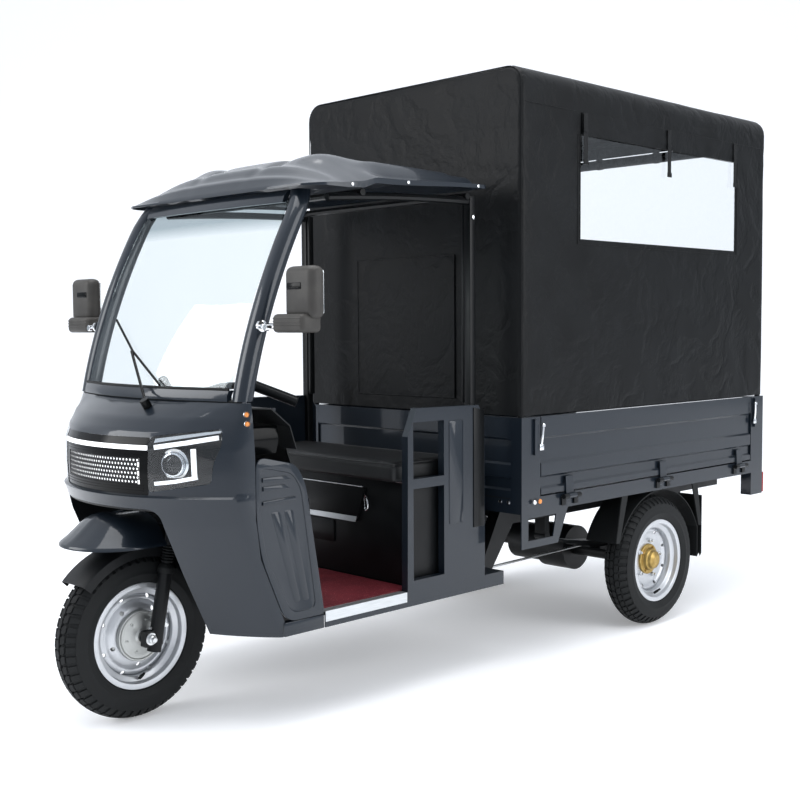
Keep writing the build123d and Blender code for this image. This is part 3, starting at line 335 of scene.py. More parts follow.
def rounded(points, radius, steps=4):
    """An open run of (u, r) points with each inner corner eased by an arc-like curve."""
    eased = [points[0]]
    for before, corner, after in zip(points, points[1:], points[2:]):
        into = Vector(before) - Vector(corner)
        out = Vector(after) - Vector(corner)
        reach = min(radius, 0.45 * into.length, 0.45 * out.length)
        start = Vector(corner) + into.normalized() * reach
        end = Vector(corner) + out.normalized() * reach
        for step in range(steps + 1):
            t = step / steps
            eased.append(tuple(start * (1 - t) ** 2 + Vector(corner) * 2 * t * (1 - t) + end * t * t))
    return eased + [points[-1]]


def joined(name, parts, material, sharp_deg=35.0):
    """One mesh object from several (vertices, faces) pairs."""
    vertices, faces = [], []
    for more, cells in parts:
        shift = len(vertices)
        vertices += [tuple(v) for v in more]
        faces += [tuple(i + shift for i in cell) for cell in cells]
    return mesh_piece(name, vertices, faces, material, sharp_deg)


def stud(centre, axis, radius, length, sides=6, ease=0.12):
    """A nut or bolt head: a closed prism with its outer edge eased."""
    axis = Vector(axis).normalized()
    across = axis.orthogonal().normalized()
    up = axis.cross(across)
    vertices, faces = [], []
    levels = ((0.0, 1.0), (length * (1 - ease), 1.0), (length, 1.0 - ease * 1.6))
    for height, share in levels:
        for side in range(sides):
            angle = 2 * math.pi * side / sides
            ring = (across * math.cos(angle) + up * math.sin(angle)) * radius * share
            vertices.append(Vector(centre) + ring + axis * height)
    for low in range(len(levels) - 1):
        for side in range(sides):
            other = (side + 1) % sides
            faces.append((
                low * sides + side, low * sides + other, (low + 1) * sides + other,
                (low + 1) * sides + side,
            ))
    faces.append(tuple(reversed(range(sides))))
    faces.append(tuple(range((len(levels) - 1) * sides, len(levels) * sides)))
    return vertices, faces


def combine(piece, tool, operation):
    """Keep what two closed meshes share, add them or cut one from the other, for good."""
    step = piece.modifiers.new("combine", "BOOLEAN")
    step.operation = operation
    step.object = tool
    step.solver = "EXACT"
    settle(piece)
    bpy.data.objects.remove(tool)


def pierce(piece, cutter):
    """Cut one closed mesh out of another for good, and drop the cutter."""
    combine(piece, cutter, "DIFFERENCE")


def settle(piece, sharp_deg=35.0):
    """Apply all of a piece's modifiers and shade the result again."""
    bpy.context.view_layer.update()
    evaluated = piece.evaluated_get(bpy.context.evaluated_depsgraph_get())
    final = bpy.data.meshes.new_from_object(evaluated)
    piece.modifiers.clear()
    piece.data = final
    soften(final, sharp_deg)


def mirror_u(profile, outward):
    """A profile for the wheel's other side, where outward is -1."""
    return [(outward * u, r) for u, r in profile]


bead_seat = 0.1525
well = 0.133
steel = 0.003
channel_half = 0.047
channel = rounded([
    (-channel_half, rim_edge), (-channel_half + 0.0035, rim_edge), (-channel_half + 0.005, bead_seat),
    (-0.024, bead_seat - 0.001), (-0.019, well), (0.019, well), (0.024, bead_seat - 0.001),
    (channel_half - 0.005, bead_seat), (channel_half - 0.0035, rim_edge), (channel_half, rim_edge),
    (channel_half - 0.001, bead_seat - steel), (0.027, bead_seat - steel - 0.001), (0.021, well - steel),
    (-0.021, well - steel), (-0.027, bead_seat - steel - 0.001), (-channel_half + 0.001, bead_seat - steel),
    (-channel_half, rim_edge),
], 0.003)
front_disc = rounded([
    (0.0, well - steel + 0.0005), (0.008, well - 0.006), (0.012, 0.118), (0.011, 0.111), (0.019, 0.102),
    (0.026, 0.09), (0.03, 0.06), (0.03, 0.02), (0.026, 0.02), (0.026, 0.06), (0.022, 0.089),
    (0.015, 0.1), (0.007, 0.11), (0.008, 0.118), (0.004, well - 0.008), (-0.004, well - steel + 0.0005),
], 0.006)
rear_disc = rounded([
    (-0.004, well - steel + 0.0005), (0.001, well - 0.008), (0.003, 0.116), (-0.003, 0.106), (-0.005, 0.094),
    (-0.006, 0.06), (-0.006, 0.02), (-0.01, 0.02), (-0.01, 0.06), (-0.009, 0.095), (-0.007, 0.107),
    (-0.001, 0.116), (-0.003, well - 0.01), (-0.008, well - steel + 0.0005),
], 0.006)
hole_rings = {"front": ((8, 0.124, 0.0072), (5, 0.0935, 0.0072)), "rear": ((8, 0.112, 0.0065),)}


def build_rim(name, centre, outward, disc, rings, body, node):
    """Channel and disc in one piece, the disc pierced through by its rings of holes."""
    plate = joined(name, [turned(mirror_u(disc, outward), centre, 128)], silver_paint)
    holes = []
    for count, circle, radius in rings:
        for index in range(count):
            angle = 2 * math.pi * (index + 0.5) / count
            middle = Vector(centre) + Vector((-0.06, circle * math.sin(angle), circle * math.cos(angle)))
            holes.append(stud(middle, (1, 0, 0), radius, 0.12, 16))
    pierce(plate, joined("holes", holes, silver_paint))
    ring = joined("ring", [turned(channel, centre, 128)], silver_paint)
    with bpy.context.temp_override(active_object=plate, selected_editable_objects=[plate, ring]):
        bpy.ops.object.join()
    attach(plate, body)
    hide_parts(node)


def build_valve(name, centre, outward, body):
    """Rubber valve stem standing out of the channel, with its cap."""
    foot = Vector(centre) + Vector((outward * 0.03, 0.0, -(well + 0.004)))
    axis = Vector((outward * 0.8, 0.0, 0.6))
    parts = [stud(foot, axis, 0.0055, 0.022, 12), stud(foot + axis * 0.022, axis, 0.0042, 0.012, 12)]
    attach(joined(name, parts, rubber), body)


build_rim("front_rim_pressed", front_centre, 1, front_disc, hole_rings["front"], "front_wheel", "front_rim")
build_rim(
    "rear_rim_pressed_left", left_centre, 1, rear_disc, hole_rings["rear"], "rear_wheel_left",
    "rear_rim_left",
)
build_rim(
    "rear_rim_pressed_right", right_centre, -1, rear_disc, hole_rings["rear"], "rear_wheel_right",
    "rear_rim_right",
)
build_valve("front_valve", front_centre, 1, "front_wheel")
build_valve("rear_valve_left", left_centre, 1, "rear_wheel_left")
build_valve("rear_valve_right", right_centre, -1, "rear_wheel_right")

# Hubs: the front one is a die-cast brake drum with a rolled edge and a domed cover; the
# rear ones are cast flanges with five studs and a stepped cap, yellow passivated.
grey_cast, tree = new_material("die_cast_aluminium")
place = add_node(tree, "ShaderNodeTexCoord").outputs["Object"]
sand = add_node(tree, "ShaderNodeTexNoise", {"Vector": place, "Scale": 420.0, "Detail": 3.0})
casting = add_node(tree, "ShaderNodeBump", {"Height": sand, "Strength": 0.25, "Distance": 0.0005})
close_material(tree, {
    "Base Color": linear("#b4b6b4"), "Metallic": 0.85, "Roughness": 0.42, "Normal": casting,
})
drum = rounded([
    (0.0305, 0.01), (0.056, 0.01), (0.056, 0.02), (0.05, 0.024), (0.047, 0.04), (0.042, 0.06),
    (0.041, 0.071), (0.044, 0.074), (0.044, 0.079), (0.04, 0.08), (0.0305, 0.08),
], 0.0025)
parts = [turned(mirror_u(drum, side), front_centre) for side in (1, -1)]
parts.append(turned([(-0.031, 0.01), (-0.031, 0.076), (0.031, 0.076), (0.031, 0.01)], front_centre, 64))
for index in range(6):
    angle = math.radians(60 * index + 20)
    spot = front_centre + Vector((0.0425, 0.052 * math.sin(angle), 0.052 * math.cos(angle)))
    parts.append(stud(spot, (1, 0, 0), 0.0045, 0.004, 12))
hub = joined("front_hub_drum", parts, grey_cast)
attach(hub, "front_wheel")
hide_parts("front_hub")

cap = rounded([
    (-0.006, 0.062), (0.002, 0.062), (0.004, 0.058), (0.004, 0.046), (0.018, 0.043), (0.02, 0.038),
    (0.032, 0.035), (0.036, 0.028), (0.04, 0.02), (0.04, 0.0),
], 0.002)
drum_back = rounded([
    (-0.0105, 0.04), (-0.0105, 0.084), (-0.016, 0.088), (-0.074, 0.088), (-0.078, 0.084), (-0.078, 0.018),
], 0.003)
for side, centre, name, body, node in (
    (1, left_centre, "rear_hub_flange_left", "rear_wheel_left", "rear_hub_left"),
    (-1, right_centre, "rear_hub_flange_right", "rear_wheel_right", "rear_hub_right"),
):
    parts = [turned(mirror_u(cap, side), centre, 64)]
    nuts = []
    for index in range(5):
        angle = math.radians(72 * index + 10)
        spot = centre + Vector((side * -0.006, 0.076 * math.sin(angle), 0.076 * math.cos(angle)))
        nuts.append(stud(spot, (side, 0, 0), 0.0095, 0.013))
        nuts.append(stud(spot, (side, 0, 0), 0.0055, 0.021, 12))
    for index in range(4):
        angle = math.radians(90 * index + 30)
        spot = centre + Vector((side * 0.004, 0.052 * math.sin(angle), 0.052 * math.cos(angle)))
        parts.append(stud(spot, (side, 0, 0), 0.0048, 0.006))
    flange = joined(name, parts, brass)
    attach(flange, body)
    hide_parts(node)
    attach(joined(name.replace("flange", "nuts"), nuts, zinc), body)
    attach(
        joined(name.replace("flange", "drum"), [turned(mirror_u(drum_back, side), centre, 64)], grey_cast),
        body,
    )


# Body paint: blue-grey metallic lacquer with a clear coat, over pressed steel and moulded
# ABS panels. The clear coat mirrors the room, the flake under it scatters a soft sheen.
def lacquer(name, colour, peel_share=1.0):
    """Metallic lacquer in one colour; the flake and orange peel are cut in real sizes."""
    made, tree = new_material(name)
    place = add_node(tree, "ShaderNodeTexCoord").outputs["Object"]
    # Flake is about 0.1 mm in the paint, drawn at 0.6 mm so that it shows.
    flake = add_node(tree, "ShaderNodeTexVoronoi", {"Vector": place, "Scale": 1500.0})
    shade = add_node(tree, "ShaderNodeMapRange", {"Value": flake, "To Min": 1.18, "To Max": 0.86})
    tint = add_node(tree, "ShaderNodeHueSaturation", {"Color": linear(colour), "Value": shade})
    # Orange peel in sprayed lacquer is 6 to 10 mm from crest to crest.
    wave = add_node(tree, "ShaderNodeTexNoise", {"Vector": place, "Scale": 120.0, "Detail": 1.0})
    peel = add_node(tree, "ShaderNodeBump", {
        "Height": wave, "Strength": 0.1 * peel_share, "Distance": 0.001,
    })
    # Road dust dulls the lower panels a little.
    height = add_node(tree, "ShaderNodeSeparateXYZ", {"Vector": place})
    dust = add_node(tree, "ShaderNodeTexNoise", {"Vector": place, "Scale": 14.0, "Detail": 6.0})
    low = add_node(tree, "ShaderNodeMapRange", {
        "Value": height.outputs["Z"], "From Min": 0.3, "From Max": 1.0, "To Min": 0.12, "To Max": 0.02,
    })
    film = add_node(tree, "ShaderNodeMath", {0: dust, 1: low}, operation="MULTIPLY")
    rough = add_node(tree, "ShaderNodeMath", {0: film, 1: 0.38}, operation="ADD")
    close_material(tree, {
        "Base Color": tint, "Metallic": 0.35, "Roughness": rough,
        "Coat Weight": 0.62, "Coat Roughness": 0.07, "Normal": peel,
        "Coat Normal": peel,
    })
    return made


body_paint = lacquer("blue_grey_metallic_lacquer", "#161e27")

# Nose: two ABS mouldings, the fascia with its legs either side of the wheel and the hood
# over it, screwed to the frame behind. One plan curve swept up through a few levels gives
# both; the chin's lip stands out under the grille.
cab_half = 0.468
nose_rear = -1.04
nose_corner = 0.024
nose_wall = 0.004
# Height, y of the middle of the front, y where the front meets the side.
nose_levels = (
    (0.29, -1.3, -1.13),
    (0.48, -1.392, -1.212),
    (0.64, -1.462, -1.278),
    (0.7, -1.48, -1.293),
    (0.727, -1.492, -1.3),
    (0.733, -1.48, -1.292),
    (0.8, -1.484, -1.294),
    (0.88, -1.482, -1.291),
    (0.92, -1.462, -1.284),
    (0.955, -1.425, -1.275),
    (0.985, -1.375, -1.262),
    (1.004, -1.338, -1.254),
)


def between(table, at):
    """A row of a table read at a height, with straight runs between its rows."""
    for low, high in zip(table, table[1:]):
        if at <= high[0]:
            share = (at - low[0]) / (high[0] - low[0])
            return [a + (b - a) * share for a, b in zip(low[1:], high[1:])]
    return list(table[-1][1:])


def plan_curve(front, corner, half, inset, turns=40):
    """Plan of the nose at one level: a shallow arc, a soft corner and a straight side."""
    reach = half - nose_corner
    rise = corner - front
    radius = (reach * reach + rise * rise) / (2 * rise)
    spread = math.asin(reach / radius)
    points = []
    for step in range(turns + 1):
        angle = -spread + 2 * spread * step / turns
        points.append(Vector((radius * math.sin(angle), front + radius - radius * math.cos(angle), 0)))
    start = points[-1]
    along = Vector((math.cos(spread), math.sin(spread), 0))
    end = Vector((half, corner + 0.075, 0))
    bend = []
    for step in range(1, 9):
        t = step / 8
        b = end - Vector((0, 0.035, 0))
        near = start * (1 - t) ** 3 + (start + along * 0.022) * 3 * t * (1 - t) ** 2
        bend.append(near + b * 3 * t * t * (1 - t) + end * t ** 3)
    side = [Vector((half, end.y + (nose_rear - end.y) * step / 4, 0)) for step in range(1, 5)]
    right = bend + side
    left = [Vector((-p.x, p.y, 0)) for p in reversed(right)]
    outline = left + points + right
    inner = []
    for index, point in enumerate(outline):
        before = outline[max(index - 1, 0)]
        after = outline[min(index + 1, len(outline) - 1)]
        run = (after - before).normalized()
        inner.append(point + Vector((-run.y, run.x, 0)) * inset)
    return inner


def hood_ridge(point):
    """The two soft ridges pressed along the hood, 5 mm high, fading out at the seam."""
    centre = 0.3 + (point.z - 0.93) * 1.4
    across = math.exp(-(((abs(point.x) - centre) / 0.03) ** 2))
    along = max(0.0, min(1.0, (point.z - 0.925) / 0.03)) * max(0.0, min(1.0, (1.004 - point.z) / 0.012))
    return 0.005 * across * along


def nose_skin(name, heights, material, inset=0.0, wall=nose_wall):
    """A closed shell of the nose between levels, one wall thick."""
    rows = []
    for depth in (inset, inset + wall):
        for z in heights:
            front, corner = between(nose_levels, z)
            row = [Vector((p.x, p.y, z)) for p in plan_curve(front, corner, cab_half, depth)]
            for p in row:
                p.z += hood_ridge(p)
            rows.append(row)
    width = len(rows[0])
    count = len(heights)
    vertices = [p for row in rows for p in row]
    faces = []
    for r in range(count - 1):
        for c in range(width - 1):
            a = r * width + c
            faces.append((a, a + 1, a + width + 1, a + width))
            b = a + count * width
            faces.append((b + width, b + width + 1, b + 1, b))
    for c in range(width - 1):
        low, top = c, (count - 1) * width + c
        back_low, back_top = low + count * width, top + count * width
        faces.append((back_low, back_low + 1, low + 1, low))
        faces.append((top, top + 1, back_top + 1, back_top))
    for r in range(count - 1):
        for c in (0, width - 1):
            a, b = r * width + c, (r + count) * width + c
            faces.append((a, a + width, b + width, b) if c == 0 else (b, b + width, a + width, a))
    return mesh_piece(name, vertices, faces, material)


def prism(outline, axis, low, high):
    """Vertices and faces of an outline carried along X, Y or Z between two stations."""
    order = {"X": (2, 0, 1), "Y": (0, 2, 1), "Z": (0, 1, 2)}[axis]
    vertices = []
    for station in (low, high):
        for u, v in outline:
            coordinates = (u, v, station)
            vertices.append(Vector((coordinates[order[0]], coordinates[order[1]], coordinates[order[2]])))
    count = len(outline)
    faces = [(i, (i + 1) % count, count + (i + 1) % count, count + i) for i in range(count)]
    faces += [tuple(reversed(range(count))), tuple(range(count, 2 * count))]
    return vertices, faces


def punch(piece, outline, axis, low, high):
    """Cut a piece with an outline carried along an axis between two stations."""
    pierce(piece, joined("punch", [prism(outline, axis, low, high)], piece.data.materials[0]))


def eased_ring(points, radius, steps=5):
    """A closed outline of (u, v) points with its corners rounded."""
    loop = rounded([points[-1], *points, points[0]], radius, steps)
    return loop[1:-1]


seam_middle = 0.906
seam_rise = 0.044
seam_half = 0.488


def oblong(left, right, low, high):
    """The four corners of an upright rectangle, from its lower left on."""
    return [(left, low), (right, low), (right, high), (left, high)]


def seam_height(x, offset=0.0):
    """Height of the seam between fascia and hood, an arc lowest in the middle."""
    return seam_middle + seam_rise * (x / seam_half) ** 2 + offset


def seam_cutter(above):
    """A solid over or under the seam, to leave the hood or the fascia."""
    edge = 0.52
    far = 1.2 if above else 0.1
    offset = 0.0 if above else -0.0022
    steps = 24
    arc = [(
        -edge + 2 * edge * i / steps, seam_height(-edge + 2 * edge * i / steps, offset),
    ) for i in range(steps + 1)]
    return joined("seam", [prism(arc + [(edge, far), (-edge, far)], "Y", -1.7, -0.9)], body_paint)


def level_steps(low, high, pitch):
    """Heights from one level to another, on the table's own rows and evenly between."""
    marks = sorted({low, high, *[row[0] for row in nose_levels if low < row[0] < high]})
    heights = []
    for a, b in zip(marks, marks[1:]):
        parts = max(1, round((b - a) / pitch))
        heights += [a + (b - a) * i / parts for i in range(parts)]
    return heights + [high]


lamp_outline = [
    (0.232, 0.742), (0.402, 0.772), (0.408, 0.833), (0.424, 0.881), (0.42, 0.931), (0.232, 0.906),
]
lamp_corner = 0.012
grille_low = 0.733
mouth_high = 0.903
mouth_half = 0.2325
arch_half = 0.262
arch_top = 0.69
side_cut = [
    (-1.7, 0.2), (-1.115, 0.2), (-1.115, 0.336), (-1.203, 0.541), (-1.223, 0.662), (-1.223, 0.853),
    (-1.236, 1.1), (-1.7, 1.1),
]

cowl = nose_skin("nose_fascia", level_steps(0.29, 0.96, 0.012), body_paint)
behind = side_cut[1:-1] + [(-0.9, 1.1), (-0.9, 0.2)]
ahead = -1.7
punch(cowl, behind, "X", -0.6, 0.6)
pierce(cowl, seam_cutter(True))
arch = eased_ring(oblong(-arch_half, arch_half, 0.1, arch_top), 0.045)
punch(cowl, arch, "Y", ahead, -0.9)
for side in (-1, 1):
    window = eased_ring([(side * x, z) for x, z in lamp_outline], lamp_corner)
    punch(cowl, window, "Y", ahead, -1.1)
mouth = eased_ring(oblong(-mouth_half, mouth_half, grille_low, mouth_high), 0.006)
punch(cowl, mouth, "Y", ahead, -1.3)
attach(cowl, "frame")
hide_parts("nose_cowl")

hood = nose_skin("hood_moulding", level_steps(0.895, 1.004, 0.008), body_paint)
pierce(hood, seam_cutter(False))
punch(hood, behind, "X", -0.6, 0.6)
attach(hood, "frame")
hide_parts("hood_panel")


# Lamps and grille, let into the fascia: a clear polycarbonate cover over a black tub with
# a projector and a bent white light guide each side, a light bar and a pierced grille.
lamp_plastic, tree = new_material("gloss_black_abs")
place = add_node(tree, "ShaderNodeTexCoord").outputs["Object"]
film = add_node(tree, "ShaderNodeTexNoise", {"Vector": place, "Scale": 40.0, "Detail": 5.0})
gloss = add_node(tree, "ShaderNodeMapRange", {"Value": film, "To Min": 0.08, "To Max": 0.24})
close_material(tree, {"Base Color": linear("#08090a"), "Roughness": gloss, "Specular IOR Level": 0.12})

textured_abs, tree = new_material("grained_black_abs")
place = add_node(tree, "ShaderNodeTexCoord").outputs["Object"]
# Leather-like mould grain with cells of about 1 mm, drawn at 1.3 mm.
cells = add_node(tree, "ShaderNodeTexVoronoi", {"Vector": place, "Scale": 760.0})
grain = add_node(tree, "ShaderNodeBump", {"Height": cells, "Strength": 0.3, "Distance": 0.0006})
fade = add_node(tree, "ShaderNodeTexNoise", {"Vector": place, "Scale": 11.0, "Detail": 4.0})
tone = add_node(tree, "ShaderNodeValToRGB", {"Fac": fade}, tones=("#0c0d0f", "#16181a"))
close_material(tree, {
    "Base Color": tone, "Roughness": 0.48, "IOR": 1.53, "Normal": grain,
})

clear_cover, tree = new_material("clear_polycarbonate")
place = add_node(tree, "ShaderNodeTexCoord").outputs["Object"]
haze = add_node(tree, "ShaderNodeTexNoise", {"Vector": place, "Scale": 30.0, "Detail": 6.0})
scuff = add_node(tree, "ShaderNodeMapRange", {"Value": haze, "To Min": 0.0, "To Max": 0.06})
close_material(tree, {
    "Base Color": linear("#f6f9fb"), "Roughness": scuff, "IOR": 1.45, "Transmission Weight": 1.0,
})

# Lit by its own emission, as the lamps are; the grille backing borrows it as painted glow.
light_guide, tree = new_material("lit_white_acrylic")
place = add_node(tree, "ShaderNodeTexCoord").outputs["Object"]
spread = add_node(tree, "ShaderNodeTexNoise", {"Vector": place, "Scale": 25.0})
glow = add_node(tree, "ShaderNodeMapRange", {"Value": spread, "To Min": 0.75, "To Max": 1.0})
close_material(tree, {
    "Base Color": linear("#f2f4f6"), "Roughness": 0.25, "Emission Color": linear("#ffffff"),
    "Emission Strength": glow,
})

chrome, tree = new_material("vacuum_metallised_plastic")
place = add_node(tree, "ShaderNodeTexCoord").outputs["Object"]
ripple = add_node(tree, "ShaderNodeTexNoise", {"Vector": place, "Scale": 90.0})
flow = add_node(tree, "ShaderNodeBump", {"Height": ripple, "Strength": 0.1, "Distance": 0.0008})
close_material(tree, {
    "Base Color": linear("#e2e4e6"), "Metallic": 1.0, "Roughness": 0.09, "Normal": flow,
})


def skin_patch(name, outline, material, inset, wall, pitch=0.008):
    """The part of a nose shell inside a front-view outline, at a depth behind the fascia."""
    low = min(z for x, z in outline) - 0.004
    high = max(z for x, z in outline) + 0.004
    patch = nose_skin(name, level_steps(low, min(high, 1.004), pitch), material, inset, wall)
    combine(patch, joined("frame", [prism(outline, "Y", ahead, -1.1)], material), "INTERSECT")
    return patch


def shrunk(outline, amount):
    """A closed outline drawn in on all sides, moved along each corner's bisector."""
    count = len(outline)
    result = []
    area = sum(outline[i - 1][0] * outline[i][1] - outline[i][0] * outline[i - 1][1] for i in range(count))
    turn = 1 if area > 0 else -1
    for i in range(count):
        before, here, after = Vector(outline[i - 1]), Vector(outline[i]), Vector(outline[(i + 1) % count])
        a = (here - before).normalized()
        b = (after - here).normalized()
        normal = Vector((-a.y - b.y, a.x + b.x)) * turn
        normal /= max(0.3, 1 + a.dot(b))
        result.append(tuple(here + normal * amount))
    return result


def fascia_point(x, z, depth):
    """Point at a depth behind the fascia, and the direction straight out of it."""
    front, corner = between(nose_levels, z)
    reach = cab_half - nose_corner
    rise = corner - front
    radius = (reach * reach + rise * rise) / (2 * rise)
    y = front + radius - math.sqrt((radius - depth) ** 2 - x * x)
    return Vector((x, y, z)), Vector((x, y - front - radius, 0)).normalized()


def facing(profile, place, out, segments=48):
    """A profile of (along the axis, radius) turned about a line through a place."""
    vertices, faces = turned(profile, (0, 0, 0), segments)
    turn = Vector((1, 0, 0)).rotation_difference(out).to_matrix()
    return [place + turn @ v for v in map(Vector, vertices)], faces


def strip(points, width):
    """Closed outline of a flat strip along a few front-view points."""
    left, right = [], []
    for index, point in enumerate(points):
        before = Vector(points[max(index - 1, 0)])
        after = Vector(points[min(index + 1, len(points) - 1)])
        a = (Vector(point) - before).normalized() if index else (after - Vector(point)).normalized()
        b = (after - Vector(point)).normalized() if index < len(points) - 1 else a
        normal = Vector((-a.y - b.y, a.x + b.x)) / max(0.4, 1 + a.dot(b))
        left.append(tuple(Vector(point) + normal * width / 2))
        right.append(tuple(Vector(point) - normal * width / 2))
    return left + right[::-1]


def mirrored(piece, name):
    """A copy of a piece on the vehicle's other side."""
    mesh = piece.data.copy()
    mesh.transform(Matrix.Diagonal((-1, 1, 1, 1)))
    mesh.flip_normals()
    twin = bpy.data.objects.new(name, mesh)
    bpy.context.scene.collection.objects.link(twin)
    return twin


outline = eased_ring(lamp_outline, lamp_corner)
cover = skin_patch("lamp_cover_left", shrunk(outline, 0.0004), clear_cover, 0.0, 0.003)
tub = skin_patch("lamp_tub_left", shrunk(outline, 0.0006), lamp_plastic, 0.0046, 0.052)
pierce(tub, skin_patch("hollow", shrunk(outline, 0.003), lamp_plastic, -0.005, 0.053))
bezel = skin_patch("lamp_bezel_left", shrunk(outline, 0.0008), lamp_plastic, 0.0035, 0.009)
punch(bezel, shrunk(outline, 0.0085), "Y", ahead, -1.1)
runs = (
    [(0.243, 0.874), (0.33, 0.889), (0.402, 0.904)],
    [(0.349, 0.872), (0.353, 0.792)],
    [(0.243, 0.767), (0.3, 0.775), (0.357, 0.788)],
)
widths = (0.0135, 0.0075, 0.011)
guide, *bars = [
    skin_patch(
        "lamp_guide_left", strip(run, width), light_guide, 0.01, 0.007,
    ) for run, width in zip(runs, widths)
]
for bar in bars:
    combine(guide, bar, "UNION")
shelf_outline = [(0.242, 0.887), (0.41, 0.918), (0.412, 0.926), (0.242, 0.899)]
shelf = skin_patch("lamp_shelf_left", shelf_outline, chrome, 0.009, 0.004)
spot, out = fascia_point(0.283, 0.824, 0.034)
rings = [
    facing([(0.0, 0.033), (0.004, 0.036), (0.014, 0.0345), (0.016, 0.031), (0.004, 0.029)], spot, out),
    facing([(0.0, 0.046), (0.003, 0.046), (0.006, 0.04), (0.001, 0.033)], spot, out),
]
ring = joined("lamp_projector_ring_left", rings, chrome)
dome = [
    (0.004 + 0.013 * math.cos(math.radians(a)), 0.029 * math.sin(math.radians(a))) for a in range(0, 91, 9)
]
bulb = joined("lamp_projector_lens_left", [facing(dome[::-1] + [(0.0, 0.0)], spot, out)], clear_cover)
for piece, slot in (
    (cover, "clear_lens"), (tub, "lamp_plastic"), (bezel, "black_plastic"), (guide, "clear_lens"),
    (shelf, "bright_metal"), (ring, "bright_metal"), (bulb, "clear_lens"),
):
    other = mirrored(piece, piece.name.replace("left", "right"))
    for twin in (piece, other):
        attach(twin, "frame")
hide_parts("headlamp_lenses")
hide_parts("headlamp_housings")

bar_low = 0.8663
insert_half = 0.2318
light_strip = oblong(-0.229, 0.229, bar_low, 0.88)
light_bar = skin_patch("light_bar_guide", light_strip, light_guide, -0.001, 0.005)
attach(light_bar, "frame")
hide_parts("light_bar")
brow_strip = oblong(-insert_half, insert_half, 0.8803, mouth_high - 0.0005)
brow = skin_patch("grille_brow", brow_strip, lamp_plastic, 0.001, 0.006)
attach(brow, "frame")

# The grille's pierced field: round holes in staggered rows, 13 mm apart, in a curved panel
# with plain ribs above and below; behind the holes a mesh glows with the lamps' lit white, painted light so
# that the holes read bright.
hole_rows = 6
hole_pitch = 0.013
hole_radius = 0.0037
field_low = 0.764
field_half = 0.196


def grille_cell(vertices, faces, x, z, width, height):
    """One square of the panel with a round hole through it, 1 mm deep."""
    start = len(vertices)
    for ring in range(3):
        for step in range(8):
            angle = 2 * math.pi * step / 8
            if ring == 0:
                scale = 1 / max(abs(math.cos(angle)), abs(math.sin(angle)))
                u, v, depth = math.cos(
                    angle,
                ) * scale * width / 2, math.sin(angle) * scale * height / 2, 0.0035
            else:
                u, v = math.cos(angle) * hole_radius, math.sin(angle) * hole_radius
                depth = 0.0035 if ring == 1 else 0.0045
            vertices.append(fascia_point(x + u, z + v, depth)[0])
    for ring in range(2):
        for step in range(8):
            other = (step + 1) % 8
            a = start + ring * 8
            faces.append((a + step, a + other, a + 8 + other, a + 8 + step))


vertices, faces = [], []
columns = int(2 * field_half / hole_pitch)
for row in range(hole_rows):
    shift = 0.5 * hole_pitch if row % 2 else 0.0
    for column in range(columns):
        x = -field_half + (column + 0.5) * hole_pitch + shift
        z = field_low + (row + 0.5) * hole_pitch
        grille_cell(vertices, faces, x, z, hole_pitch, hole_pitch)
field = mesh_piece("grille_field", vertices, faces, textured_abs)
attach(field, "frame")
face_outline = oblong(-insert_half, insert_half, grille_low + 0.0005, 0.8657)
surround = skin_patch("grille_surround", face_outline, lamp_plastic, 0.002, 0.005)
field_high = field_low + hole_rows * hole_pitch
opening = oblong(-field_half, field_half + 0.5 * hole_pitch, field_low, field_high)
punch(surround, opening, "Y", ahead, -1.1)
for z in (0.7435, 0.7515, 0.7595, 0.8485, 0.8565):
    combine(surround, skin_patch(
        "rib", oblong(-0.215, 0.215, z, z + 0.0025), lamp_plastic, 0.0005, 0.003,
    ), "UNION")
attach(surround, "frame")
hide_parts("grille")
# The backing is no lamp: it glows with the lit white acrylic, painted light behind the holes.
painted_glow_backing = skin_patch("grille_backing_painted_glow", shrunk(opening, -0.004), light_guide, 0.005, 0.0015)
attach(painted_glow_backing, "frame")


# Front fender: a duck-billed ABS shell bolted to the fork, with a rolled rim and a soft
# keel along its back; a black inner skirt follows the tyre behind it.
fender_side = -1.405
fender_tip = -1.576
fender_rear = -1.331
fender_rim = 0.562
# Height above the rim, half width and how far the tip draws back, rim to crown.
fender_levels = (
    (0.0, 0.1655, 0.0), (0.006, 0.1655, 0.0005), (0.012, 0.16, 0.006), (0.022, 0.15, 0.022),
    (0.04, 0.138, 0.045), (
        0.058, 0.124, 0.066,
    ), (0.074, 0.104, 0.084), (0.086, 0.076, 0.1), (0.0925, 0.04, 0.12),
)


def fender_rows(inset):
    """Half-ellipse plans of the fender from its rim up, drawn in by an inset."""
    rows = []
    for rise, half, back_off in fender_levels:
        row = []
        half = max(0.012, half - inset)
        length = fender_side - (fender_tip + back_off + inset)
        for step in range(5):
            row.append(
                Vector((-half, fender_rear + (fender_side - fender_rear) * step / 5, fender_rim + rise)),
            )
        for step in range(33):
            angle = math.pi * step / 32
            x = -half * math.cos(angle)
            keel = 0.004 * math.exp(-((x / 0.014) ** 2)) * min(1.0, rise / 0.03)
            row.append(Vector(
                (x, fender_side - length * math.sin(angle) ** 0.85, fender_rim + rise + keel - inset),
            ))
        for step in range(4, -1, -1):
            row.append(
                Vector((half, fender_rear + (fender_side - fender_rear) * step / 5, fender_rim + rise)),
            )
        rows.append(row)
    return rows


def sheet_faces(rows, columns, offset=0, flip=False):
    """Quads of a grid of rows and columns, from a first vertex on."""
    faces = []
    for r in range(rows - 1):
        for c in range(columns - 1):
            a = offset + r * columns + c
            quad = (a, a + 1, a + columns + 1, a + columns)
            faces.append(quad[::-1] if flip else quad)
    return faces


def thickened(piece, wall, sharp_deg=35.0, offset=-1.0, even=False):
    """Give a sheet its wall for good, inward from its outer face unless the offset says so."""
    shell = piece.modifiers.new("wall", "SOLIDIFY")
    shell.thickness = wall
    shell.offset = offset
    shell.use_even_offset = even
    settle(piece, sharp_deg)


